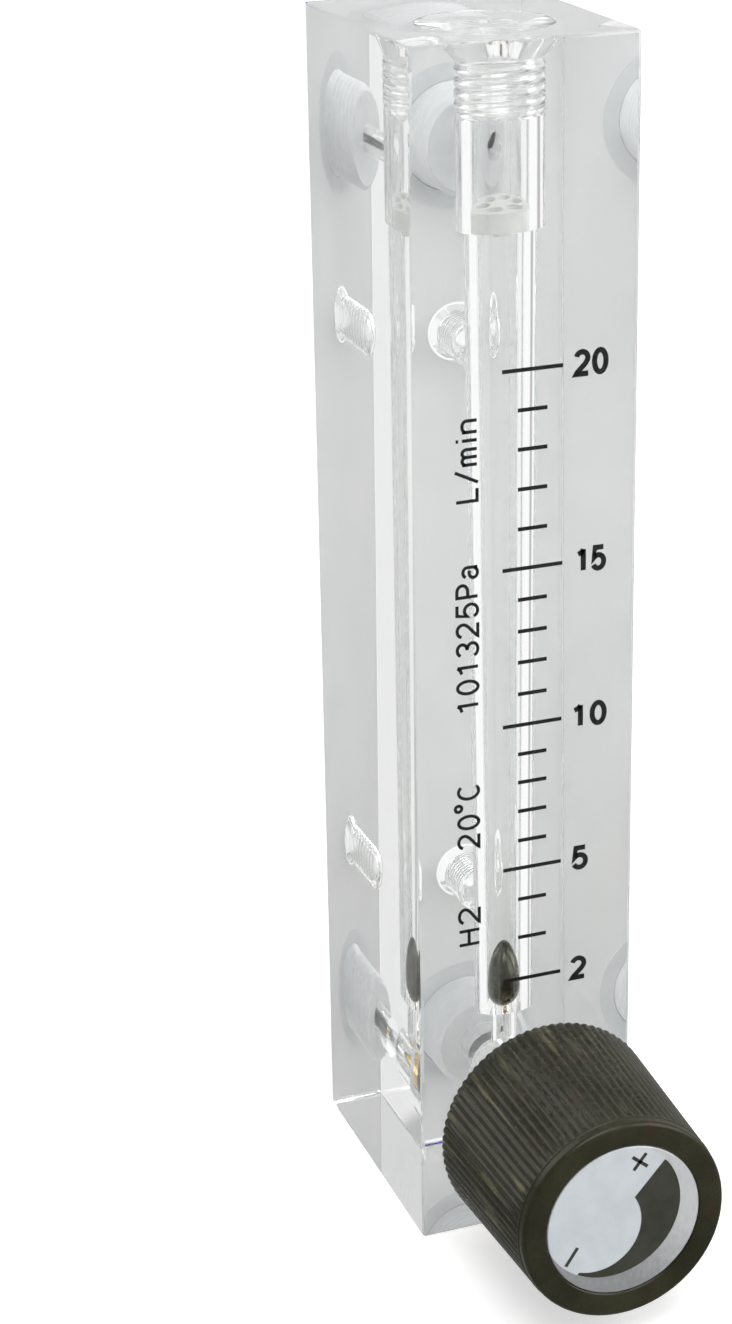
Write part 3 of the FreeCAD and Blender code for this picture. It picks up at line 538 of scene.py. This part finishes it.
BORE = {"passage": 1.7, "foot": 3.75, "head": 4.45, "chamber": 5.37, "plug": 5.22, "disc": 8.2, "port": 5.75,
        "mouth": 6.2, "gland": 5.72, "stem": 3.5, "needle": 1.5, "inlet": 3.0, "bolt": 2.5}    # radii
SEAT_Z = 26.3
PLUG_FOOT_Z = TOP_Z - 10.0
SHOULDER_Z = PLUG_FOOT_Z - 13.0
DISC_Z = TOP_Z - 0.6
SINK_Z = DISC_Z - (BORE["disc"] - BORE["plug"])
PORT_DEPTH, HOLE_DEPTH, GLAND_DEPTH, STEM_DEPTH, NEEDLE_DEPTH = 10.0, 10.0, 10.0, 6.5, 4.0
MOUTH_CHAMFER = 0.9      # at the ports and the mounting holes
TO_REAR, TO_FRONT = REAR_Y - BORE_Y, FRONT_Y - BORE_Y
PIPE_THREAD, PLUG_THREAD = (PIPE_DEPTH, PIPE_PITCH, 10), (PLUG_DEPTH, PIPE_PITCH, 10)
EDGE = 0.4               # the block's eased edges
SHARP_EDGE = 0.03        # the same at the rear, where the film runs to the edge
PLUG_GAP = 0.04          # between the plug and its hole
OUTER_SKIN = 0.5         # faces this near the outside are polished, unless they are threads


def clear_block():
    """The block with its bore, both ports, the valve cavity and the rear holes cut out."""
    low = Vector((BLOCK_LOW.x, FRONT_Y + 0.01, BLOCK_LOW.z))
    high = Vector((BLOCK_HIGH.x, REAR_Y + FILM_CONTACT, TOP_Z))
    block = chamfered_box("clear_block", low, high, EDGE)
    for vert in block.data.vertices:
        if vert.co.y > (high.y - 0.01) * MM:
            x = math.copysign(high.x - SHARP_EDGE, vert.co.x)
            z = SHARP_EDGE if vert.co.z < high.z / 2 * MM else high.z - SHARP_EDGE
            vert.co = Vector((x, high.y, z)) * MM
    block.data.materials.append(CLEAR)
    r = BORE
    cut(block, lathe("bore_cut", [
        (0, VALVE_Z), (r["passage"], VALVE_Z), (r["passage"], SEAT_Z), (r["foot"], SEAT_Z),
        (r["head"], SHOULDER_Z), (r["chamber"], SHOULDER_Z), (r["chamber"], PLUG_FOOT_Z),
        (r["plug"], PLUG_FOOT_Z), (r["plug"], SINK_Z), (r["disc"], DISC_Z), (r["disc"], TOP_Z + 1),
        (0, TOP_Z + 1),
    ], axis_matrix("+z", BORE_Y, 0), threads={7: PLUG_THREAD}))
    port_foot, port_mouth = TO_REAR - PORT_DEPTH, r["port"] + MOUTH_CHAMFER
    port = [(r["port"], port_foot), (r["port"], TO_REAR - MOUTH_CHAMFER), (port_mouth, TO_REAR),
            (port_mouth, TO_REAR + 1), (0, TO_REAR + 1)]
    cut(block, lathe("outlet_cut", [(0, 0), (r["passage"], 0), (r["passage"], port_foot)] + port,
                     axis_matrix("+y", BORE_Y, OUTLET_Z), threads={3: PIPE_THREAD}))
    gland_foot = TO_FRONT + GLAND_DEPTH
    stem_foot = gland_foot + STEM_DEPTH
    needle_foot = stem_foot + NEEDLE_DEPTH
    cut(block, lathe("valve_cut", [
        (0, TO_FRONT - 1), (r["mouth"], TO_FRONT - 1), (r["mouth"], TO_FRONT), (r["gland"], TO_FRONT + 0.5),
        (r["gland"], gland_foot - 0.01), (r["stem"], gland_foot), (r["stem"], stem_foot),
        (r["needle"], stem_foot), (r["needle"], needle_foot), (r["inlet"], needle_foot),
        (r["inlet"], port_foot)] + port, axis_matrix("+y", BORE_Y, VALVE_Z), threads={11: PIPE_THREAD}))
    hole_mouth = r["bolt"] + MOUTH_CHAMFER
    for name, height in (("low_hole", LOW_HOLE_Z), ("high_hole", HIGH_HOLE_Z)):
        cut(block, lathe(name, [
            (0, -HOLE_DEPTH - 1.4), (r["bolt"], -HOLE_DEPTH), (r["bolt"], -MOUTH_CHAMFER), (hole_mouth, 0),
            (hole_mouth, 1), (0, 1),
        ], axis_matrix("+y", REAR_Y, height), count=64, threads={1: (BOLT_DEPTH, BOLT_PITCH, 8)}))
    mesh = block.data
    mesh.materials.clear()
    for material in (CLEAR, BORED, TAPPED, SEALED):
        mesh.materials.append(material)
    for face in mesh.polygons:
        face.material_index = block_zone(face.center / MM)
    return dress(block, "block", "clear_acrylic", "acrylic_body", angle=34)


def block_zone(at):
    """Which finish a face of the block has: polished 0, bored 1, tapped 2, sealed 3."""
    if PLUG_FOOT_Z + 0.05 < at.z < SINK_Z and math.hypot(at.x, at.y - BORE_Y) < 7:
        return 2
    for height in (VALVE_Z, OUTLET_Z):
        if math.hypot(at.x, at.z - height) < 6.8 and REAR_Y - PORT_DEPTH - 0.05 < at.y < REAR_Y - 0.02:
            return 3
    for height in (LOW_HOLE_Z, HIGH_HOLE_Z):
        if math.hypot(at.x, at.z - height) < 3.3 and REAR_Y - HOLE_DEPTH - 1.5 < at.y < REAR_Y - 0.2:
            return 2
    if math.hypot(at.x, at.z - VALVE_Z) < 5.9 and FRONT_Y + 0.4 < at.y < FRONT_Y + GLAND_DEPTH + 0.2:
        return 2
    outward = max(abs(at.x) - BLOCK_HIGH.x, abs(at.y) - REAR_Y, at.z - TOP_Z, -at.z)
    return 0 if outward > -OUTER_SKIN else 1


def clear_plug():
    """The threaded plug with its disc sunk flush into the top, and the turning centre's dimple."""
    thread, disc = BORE["plug"] - PLUG_GAP, BORE["disc"] - PLUG_GAP
    foot, top = PLUG_FOOT_Z + 0.05, TOP_Z - 0.02
    plug = lathe("clear_plug", [
        (0, foot), (4.8, foot), (thread, foot + 0.4), (thread, SINK_Z - PLUG_GAP),
        (disc, DISC_Z - 0.4 * PLUG_GAP), (disc, top - 0.06), (disc - 0.08, top), (0.7, top), (0, TOP_Z - 0.6),
    ], axis_matrix("+z", BORE_Y, 0), threads={2: PLUG_THREAD})
    mesh = plug.data
    for material in (CLEAR, TAPPED):
        mesh.materials.append(material)
    for face in mesh.polygons:
        at = face.center / MM
        side = math.hypot(at.x, at.y - BORE_Y) > 5.0
        face.material_index = 1 if side and foot + 0.5 < at.z < SINK_Z else 0
    return dress(plug, "block", "clear_acrylic", "top_plug", angle=34)


RING_INSIDE, RING_OUTSIDE = 6.7, 8.85
STRIP_X, STRIP_WIDTH, STRIP_DEPTH = 13.72, 0.5, 0.08


def film_under_seal(port, height):
    """A pale ring in the block's rear face that hides the black rubber ring from the front."""
    back, front = TO_REAR + 0.03, TO_REAR - 0.05
    ring = lathe(f"film_under_{port}_seal", [
        (RING_INSIDE, front), (RING_OUTSIDE, front), (RING_OUTSIDE, back), (RING_INSIDE, back),
    ], axis_matrix("+y", BORE_Y, height))
    ring.data.materials.append(SEALED)
    return dress(ring, "block", "white_film")


def film_edges():
    """Narrow strips that carry the film's white to the block's two rear corners."""
    mesh = bpy.data.meshes.new("film_edges")
    work = bmesh.new()
    for side in (-1, 1):
        middle = (side * STRIP_X, REAR_Y - 0.01, TOP_Z / 2)
        size = (STRIP_WIDTH, STRIP_DEPTH, TOP_Z - 0.5)
        for vert in bmesh.ops.create_cube(work, size=1)["verts"]:
            vert.co = Vector([(middle[i] + vert.co[i] * size[i]) * MM for i in range(3)])
    work.to_mesh(mesh)
    work.free()
    return dress(new_object("film_edges", mesh, FILM), "block", "white_film")


# ---------------------------------------------------------------- print on the front face

PRINT_BACK, PRINT_FRONT = FRONT_Y + 0.015, FRONT_Y - 0.015
NUMBER_STROKE, MARK_STROKE, LEGEND_STROKE = 0.66, 0.48, 0.4
NUMBER_HEIGHT, LEGEND_HEIGHT = 3.3, 3.0
SIGN_GAP = 0.14          # as a share of the signs' height
LONG_MARK, SHORT_MARK = (-3.05, 4.55), (-1.1, 2.6)    # where a mark starts and ends, along X
LEGEND_X = -6.0


def edge_points(work, line, back, front):
    """A front and a back vertex at every (x, z) point of a line."""
    return [tuple(work.verts.new((x * MM, y * MM, z * MM)) for y in (front, back)) for x, z in line]


def ribbon(work, points, width, back, front, closed=False):
    """A stroke of even width along a line of points."""
    count = len(points)
    sides = ([], [])
    for index, point in enumerate(points):
        if closed:
            before, after = points[index - 1], points[(index + 1) % count]
        else:
            before, after = points[max(index - 1, 0)], points[min(index + 1, count - 1)]
        first = Vector((point[0] - before[0], point[1] - before[1]))
        second = Vector((after[0] - point[0], after[1] - point[1]))
        first = first.normalized() if first.length > 1e-9 else second.normalized()
        second = second.normalized() if second.length > 1e-9 else first
        along = (first + second).normalized()
        across = Vector((-along.y, along.x))
        half = width / 2 / max(0.4, across.dot(Vector((-first.y, first.x))))
        sides[0].append((point[0] + across.x * half, point[1] + across.y * half))
        sides[1].append((point[0] - across.x * half, point[1] - across.y * half))
    left, right = [edge_points(work, side, back, front) for side in sides]
    for index in range(count if closed else count - 1):
        after = (index + 1) % count
        work.faces.new((right[index][0], right[after][0], left[after][0], left[index][0]))
        work.faces.new((right[index][1], left[index][1], left[after][1], right[after][1]))
        work.faces.new((left[index][0], left[after][0], left[after][1], left[index][1]))
        work.faces.new((right[index][0], right[index][1], right[after][1], right[after][0]))
    if not closed:
        work.faces.new((right[0][0], left[0][0], left[0][1], right[0][1]))
        work.faces.new((right[-1][0], right[-1][1], left[-1][1], left[-1][0]))


def arc(cx, cy, rx, ry, start, end, steps=14):
    """Points on an ellipse between two angles in degrees."""
    return [(cx + rx * math.cos(math.radians(start + (end - start) * i / steps)),
             cy + ry * math.sin(math.radians(start + (end - start) * i / steps))) for i in range(steps + 1)]


def glyph(sign):
    """A sign's strokes in a box one unit high, and its width. A stroke is (points, closed)."""
    shapes = {
        "0": ([(arc(0.3, 0.5, 0.24, 0.5, 0, 360, 28)[:-1], True)], 0.6),
        "1": ([([(0.34, 0), (0.34, 1)], False), ([(0.34, 1), (0.25, 0.86), (0.1, 0.79)], False)], 0.6),
        "2": ([(arc(0.3, 0.72, 0.24, 0.28, 165, -25)
                + [(0.44, 0.46), (0.1, 0.08), (0.06, 0), (0.56, 0)], False)], 0.62),
        "3": ([(arc(0.28, 0.76, 0.22, 0.24, 160, -90) + arc(0.28, 0.26, 0.25, 0.26, 90, -160), False)], 0.58),
        "5": ([([(0.52, 1), (0.14, 1), (0.08, 0.5)] + arc(0.29, 0.32, 0.25, 0.32, 130, -155), False)], 0.6),
        "H": ([([(0.06, 0), (0.06, 1)], False), ([(0.54, 0), (0.54, 1)], False),
               ([(0.06, 0.52), (0.54, 0.52)], False)], 0.62),
        "C": ([(arc(0.34, 0.5, 0.28, 0.5, 48, 312, 22), False)], 0.66),
        "P": ([([(0.08, 0), (0.08, 1), (0.3, 1)]
                + arc(0.3, 0.74, 0.24, 0.26, 90, -90, 12) + [(0.08, 0.48)], False)], 0.6),
        "a": ([(arc(0.27, 0.5, 0.19, 0.2, 160, 0, 10) + [(0.46, 0)], False),
               (arc(0.25, 0.2, 0.19, 0.2, 60, 350, 16), False)], 0.56),
        "L": ([([(0.08, 1), (0.08, 0), (0.5, 0)], False)], 0.54),
        "/": ([([(0.02, -0.05), (0.42, 1.05)], False)], 0.44),
        "m": ([([(0.06, 0), (0.06, 0.7)], False),
               (arc(0.19, 0.5, 0.13, 0.2, 180, 0, 10) + [(0.32, 0)], False),
               (arc(0.45, 0.5, 0.13, 0.2, 180, 0, 10) + [(0.58, 0)], False)], 0.68),
        "i": ([([(0.06, 0), (0.06, 0.7)], False), ([(0.06, 0.88), (0.06, 1)], False)], 0.14),
        "n": ([([(0.06, 0), (0.06, 0.7)], False),
               (arc(0.25, 0.5, 0.19, 0.2, 180, 0, 12) + [(0.44, 0)], False)], 0.52),
        "o": ([(arc(0.14, 1.0, 0.12, 0.16, 0, 360, 18)[:-1], True)], 0.28),
    }
    return shapes[sign]


def words(work, text, x, z, height, length, stroke, upward=False):
    """Signs drawn from strokes, from a start point along +X or, turned, along +Z."""
    widths = [glyph(sign)[1] for sign in text]
    natural = sum(widths) + SIGN_GAP * (len(text) - 1)
    stretch = length / (natural * height)
    pen = 0.0
    for sign, width in zip(text, widths):
        for points, closed in glyph(sign)[0]:
            placed = []
            for u, v in points:
                along, up = (pen + u) * height * stretch, v * (height - stroke) + stroke / 2
                placed.append((x - up, z + along) if upward else (x + along, z + up))
            ribbon(work, placed, stroke, PRINT_BACK, PRINT_FRONT, closed)
        pen += width + SIGN_GAP


def printed_scale():
    """The scale: long marks with numbers, short marks between, and a legend that reads upwards."""
    mesh = bpy.data.meshes.new("printed_scale")
    work = bmesh.new()
    marks = {20: 112.1, 19: 107.3, 18: 102.55, 17: 97.7, 16: 92.8, 15: 87.9, 14: 84.0, 13: 80.0, 12: 76.05,
             11: 72.0, 10: 68.0, 9: 64.2, 8: 60.5, 7: 56.7, 6: 52.8, 5: 49.1, 4: 44.9, 3: 39.7, 2: 34.0}
    numbers = {20: (6.0, 4.1), 15: (6.3, 3.75), 10: (5.9, 4.45), 5: (6.1, 1.95), 2: (6.0, 2.0)}
    for number, height in marks.items():
        left, right = LONG_MARK if number in numbers else SHORT_MARK
        ribbon(work, [(left, height), (right, height)], MARK_STROKE, PRINT_BACK, PRINT_FRONT)
        if number in numbers:
            start, length = numbers[number]
            foot = height - NUMBER_HEIGHT / 2
            words(work, str(number), start, foot, NUMBER_HEIGHT, length, NUMBER_STROKE)
    legend = (("H2", 39.8, 45.1), ("20oC", 52.8, 61.5), ("101325Pa", 70.5, 89.3), ("L/min", 96.8, 107.1))
    for text, low, high in legend:
        words(work, text, LEGEND_X, low, LEGEND_HEIGHT, high - low, LEGEND_STROKE, upward=True)
    bmesh.ops.recalc_face_normals(work, faces=work.faces)
    work.to_mesh(mesh)
    work.free()
    scale = new_object("printed_scale", mesh, INK)
    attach(scale, "block")
    return scale


# ---------------------------------------------------------------- float

def metering_float():
    """The float, turned smooth: a round foot drawn up to a small round tip."""
    radius, tip = (FLOAT_HIGH.x - FLOAT_LOW.x) / 2, 2.3
    low, high = FLOAT_LOW.z, FLOAT_HIGH.z
    reach = high - low - radius - tip
    flank = (radius ** 2 + reach ** 2 - tip ** 2) / (2 * (radius - tip))
    profile = [(0, low)]
    for step in range(1, 17):
        angle = math.radians(-90 + 90 * step / 16)
        profile.append((radius * math.cos(angle), low + radius + radius * math.sin(angle)))
    join = math.atan2(reach, flank - radius)
    for step in range(1, 19):
        angle = join * step / 18
        profile.append((radius - flank + flank * math.cos(angle), low + radius + flank * math.sin(angle)))
    for step in range(1, 9):
        angle = join + (math.pi / 2 - join) * step / 8
        profile.append((max(0, tip * math.cos(angle)) if step < 8 else 0, high - tip + tip * math.sin(angle)))
    piece = lathe("metering_float", profile, axis_matrix("+z", BORE_Y, 0), count=64)
    piece.data.materials.append(FLOAT)
    return dress(piece, "float", "dark_aluminium", "float")


# ---------------------------------------------------------------- knob

RIBS = 78
RIB_DEPTH = 0.19
RIB_FOOT_RADIUS = 12.5   # only the outer wall, beyond this radius, is ribbed
RIM_RADIUS, RIM_WIDTH, RIM_EDGE = 12.88, 1.7, 0.62
HUB_BORE, HUB_RADIUS, HUB_REAR = 3.6, 5.7, 3.2
SKIRT_ROOT, SKIRT_MOUTH = 10.7, 11.75    # the inside of the ribbed wall, in front and at the rear
WELL_RADIUS, WELL_DEPTH = 9.7, 1.0       # the label's recess
WEB_DEPTH = 4.4          # from the rim to the rear face of the web between hub and ribbed wall


def knob():
    """The moulded knob with its fine ribs, smooth rounded rim, web and hub."""
    length = KNOB_HIGH.y - KNOB_LOW.y
    rear, front = (KNOB_HIGH.x - KNOB_LOW.x) / 2, RIM_RADIUS
    rib_end = length - RIM_WIDTH

    def ribbed(radius, angle, height):
        if height > rib_end + 0.02 or radius < RIB_FOOT_RADIUS:
            return radius
        phase = (angle * RIBS / TAU) % 1.0
        notch = max(0.0, 1 - abs(phase - 0.5) / 0.34)
        end = min(1.0, max(0.0, (rib_end + 0.02 - height) / 0.25))
        return radius - RIB_DEPTH * notch ** 0.8 * end

    well, web = length - WELL_DEPTH, length - WEB_DEPTH
    profile = [(HUB_BORE, well), (HUB_BORE, HUB_REAR), (HUB_RADIUS, HUB_REAR), (HUB_RADIUS, web),
               (SKIRT_ROOT, web), (SKIRT_MOUTH, 0.25), (SKIRT_MOUTH + 0.2, 0),
               (rear - 0.22, 0), (rear - 0.06, 0.06), (rear, 0.22)]
    for step in range(1, 12):
        share = step / 11
        profile.append((rear + (front - rear) * share, 0.22 + (rib_end - 0.5) * share))
    profile += [(front - 0.1, rib_end), (front - 0.1, rib_end + 0.06), (front - 0.02, rib_end + 0.12),
                (front, rib_end + 0.2), (front - 0.03, rib_end + 0.3), (front - 0.1, rib_end + 0.38)]
    for step in range(9):
        angle = math.radians(90 * step / 8)
        profile.append((front - 0.12 - RIM_EDGE + RIM_EDGE * math.cos(angle),
                        length - RIM_EDGE + RIM_EDGE * math.sin(angle)))
    profile += [(WELL_RADIUS + 1.5, length - 0.03), (WELL_RADIUS + 0.5, length - 0.1),
                (WELL_RADIUS + 0.16, length - 0.16), (WELL_RADIUS + 0.02, length - 0.3), (WELL_RADIUS, well)]
    outward = axis_matrix("-y", KNOB_HIGH.y, VALVE_Z)
    piece = lathe("ribbed_knob", profile, outward, count=RIBS * 8, shape=ribbed)
    piece.data.materials.append(KNOB)
    return dress(piece, "knob", "dark_plastic", "knob", angle=32)


LABEL_Y = KNOB_LOW.y + 0.25
LABEL_STROKE = 0.42
SWEEP_SCALE = 0.984


def knob_label():
    """The silver label, a thin disc with a turned-down edge that almost fills the knob's front."""
    radius = (LABEL_HIGH.x - LABEL_LOW.x) / 2
    height = LABEL_HIGH.y - LABEL_Y
    disc = lathe("silver_label", [
        (0, 0), (radius, 0), (radius, height - 0.12), (radius - 0.04, height - 0.05), (radius - 0.14, height),
        (0, height),
    ], axis_matrix("-y", LABEL_HIGH.y, VALVE_Z), count=144)
    disc.data.materials.append(SILVER)
    return dress(disc, "knob", "silver_label", "knob_label")


def knob_artwork():
    """The printed sweep on the label, with a plus and a minus at its ends."""
    mesh = bpy.data.meshes.new("label_print")
    work = bmesh.new()
    back, front = LABEL_Y + 0.02, LABEL_Y - 0.03

    def place(x, z):
        return x * SWEEP_SCALE, VALVE_Z + z * SWEEP_SCALE

    outer = arc(-1.54, 1.56, 8.85, 8.85, 39.3, 39.3 - 159, 60)
    inner = arc(-3.61, -0.34, 5.89, 5.89, 32, 32 - 143, 48)
    strips(work, [place(*p) for p in [(5.23, 7.10)] + outer[1:]],
           [place(*p) for p in [(1.49, 2.94)] + inner + [(-5.9, -6.06)]], back, front)
    plus = ((1.01, 8.31), (2.97, 6.68)), ((2.78, 8.50), (1.19, 6.49))
    minus = (-5.95, -2.39), (-7.45, -4.60)
    for first, second in (*plus, minus):
        ribbon(work, [place(*first), place(*second)], LABEL_STROKE, back, front)
    bmesh.ops.recalc_face_normals(work, faces=work.faces)
    work.to_mesh(mesh)
    work.free()
    piece = new_object("label_print", mesh, KNOB_INK)
    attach(piece, "knob")
    return piece


def resampled(points, count):
    """The line of points with even steps along its length."""
    lengths = [0.0]
    for a, b in zip(points, points[1:]):
        lengths.append(lengths[-1] + math.dist(a, b))
    made = []
    for index in range(count):
        want = lengths[-1] * index / (count - 1)
        step = next(i for i in range(1, len(points)) if lengths[i] >= want - 1e-9)
        span = lengths[step] - lengths[step - 1]
        share = (want - lengths[step - 1]) / span if span else 0
        made.append(tuple(a + (b - a) * share for a, b in zip(points[step - 1], points[step])))
    return made


def strips(work, outer, inner, back, front, count=80):
    """A closed thin plate between two lines that run side by side and meet at their far end."""
    out, into = [edge_points(work, resampled(line, count), back, front) for line in (outer, inner)]
    for i in range(count - 1):
        work.faces.new((out[i][0], out[i + 1][0], into[i + 1][0], into[i][0]))
        work.faces.new((out[i][1], into[i][1], into[i + 1][1], out[i + 1][1]))
        work.faces.new((out[i][0], out[i][1], out[i + 1][1], out[i + 1][0]))
        work.faces.new((into[i][0], into[i + 1][0], into[i + 1][1], into[i][1]))
    for i in (0, count - 1):
        work.faces.new((out[i][0], into[i][0], into[i][1], out[i][1]))


# ---------------------------------------------------------------- CAD nodes that stay

def finish_nodes():
    """Procedural materials for the CAD nodes that no piece of the scene replaces."""
    looks = {"rear_film": FILM, "float_stop": WHITE, "bonnet": GLAND, "bonnet_seal": RUBBER,
             "valve_stem": GLAND, "stem_seal": RUBBER, "knob_insert": GLAND}
    for port, metal in (("outlet", PLATED), ("inlet", BRASS)):
        looks.update({f"{port}_fitting_body": metal, f"{port}_face_seal": RUBBER, f"{port}_tube_seal": RUBBER,
                      f"{port}_claw_ring": STEEL, f"{port}_retainer": metal, f"{port}_collet": BLUE})
    for name, material in looks.items():
        node = NODES[name]
        for slot in node.material_slots:
            slot.material = material


# ---------------------------------------------------------------- floor, world and lamps

FLOOR_GLOW = 0.42        # added for the camera, so that the floor shows white
GREY_BEARING = 1.2       # the greyer stretch of the sheet, in radians from +Y towards +X
EVEN_LIGHT = 0.46        # the world's light on matt surfaces
FLOOR_RADIUS = 6.0       # in metres


def floor():
    """White to the camera with the part's soft shadow on it. Glass sees it as a plain sheet with one greyer
    stretch off to the right, and gloss sees it dimmer."""
    mesh = bpy.data.meshes.new("floor")
    work = bmesh.new()
    bmesh.ops.create_circle(work, cap_ends=True, segments=96, radius=FLOOR_RADIUS)
    for vert in work.verts:
        vert.co.z = -0.00005
    work.to_mesh(mesh)
    work.free()
    m = floor_material()
    ray = m.node("ShaderNodeLightPath").outputs
    glow = m.node("ShaderNodeEmission")
    m.link(m.math("MULTIPLY", ray["Is Camera Ray"], FLOOR_GLOW), glow.inputs["Strength"])
    lit = m.node("ShaderNodeAddShader")
    m.link(m.bsdf.outputs[0], lit.inputs[0])
    m.link(glow.outputs[0], lit.inputs[1])
    x, y, _ = m.split()
    from_grey = m.math("ABSOLUTE", m.math("SUBTRACT", m.math("ARCTAN2", x, y), GREY_BEARING))
    mirrored = m.math("SUBTRACT", ray["Is Glossy Ray"], ray["Is Transmission Ray"])
    level = m.math("MINIMUM", m.ramp(from_grey, 0.5, 1.0, (0.1, 0.3)), m.ramp(mirrored, 1.0, 0.4, (0, 1)))
    sheet = m.node("ShaderNodeEmission")
    m.link(level, sheet.inputs["Strength"])
    seen = m.node("ShaderNodeMixShader")
    m.link(m.math("MAXIMUM", ray["Is Glossy Ray"], ray["Is Transmission Ray"]), seen.inputs[0])
    m.link(lit.outputs[0], seen.inputs[1])
    m.link(sheet.outputs[0], seen.inputs[2])
    m.link(seen.outputs[0], m.out.inputs["Surface"])
    new_object("floor", mesh, m.material)


def studio():
    """A world that is white to the camera and to glass, dimmer on the left to gloss, and a soft even light on
    the rest."""
    world = bpy.data.worlds.new("studio")
    bpy.context.scene.world = world
    world.use_nodes = True
    w = Nodes(world.node_tree, "Generated")
    out = w.node("ShaderNodeOutputWorld")
    sky = w.node("ShaderNodeBackground")
    ray = w.node("ShaderNodeLightPath").outputs
    through = w.math("MAXIMUM", ray["Is Camera Ray"], ray["Is Transmission Ray"])
    mirrored = w.math("MULTIPLY", ray["Is Glossy Ray"], w.math("SUBTRACT", 1.0, through))
    plain = w.ramp(through, EVEN_LIGHT, 1.0, (0, 1))
    side = w.ramp(w.split()[0], 0.3, 0.95, (-0.5, 0.4))
    w.link(w.math("MULTIPLY_ADD", mirrored, w.math("SUBTRACT", side, plain), plain), sky.inputs["Strength"])
    w.link(sky.outputs[0], out.inputs["Surface"])


def lamps():
    """A key lamp from above, a fill from the right and one from behind, in watts."""
    target = Vector((0, 0, 0.07))
    for name, place, size, power in (
        ("key", (-0.1, -0.5, 1.15), 0.9, 11.0),
        ("fill", (0.95, -0.65, 0.6), 1.0, 11.0),
        ("rear", (-0.75, 1.0, 0.75), 1.0, 6.0),
    ):
        lamp = bpy.data.objects.new(name, bpy.data.lights.new(name, "AREA"))
        lamp.data.size = size
        lamp.data.energy = power
        lamp.location = place
        lamp.rotation_euler = (target - Vector(place)).to_track_quat("-Z", "Y").to_euler()
        bpy.context.scene.collection.objects.link(lamp)


# ---------------------------------------------------------------- the whole scene

bpy.context.scene.view_settings.view_transform = "Standard"
cycles = bpy.context.scene.cycles
cycles.max_bounces = 28
cycles.transmission_bounces = 28
cycles.glossy_bounces = 10
cycles.diffuse_bounces = 4
cycles.transparent_max_bounces = 8

add_camera()
clear_block()
clear_plug()
film_under_seal("outlet", OUTLET_Z)
film_under_seal("inlet", VALVE_Z)
film_edges()
printed_scale()
metering_float()
knob()
knob_label()
knob_artwork()
finish_nodes()
floor()
studio()
lamps()
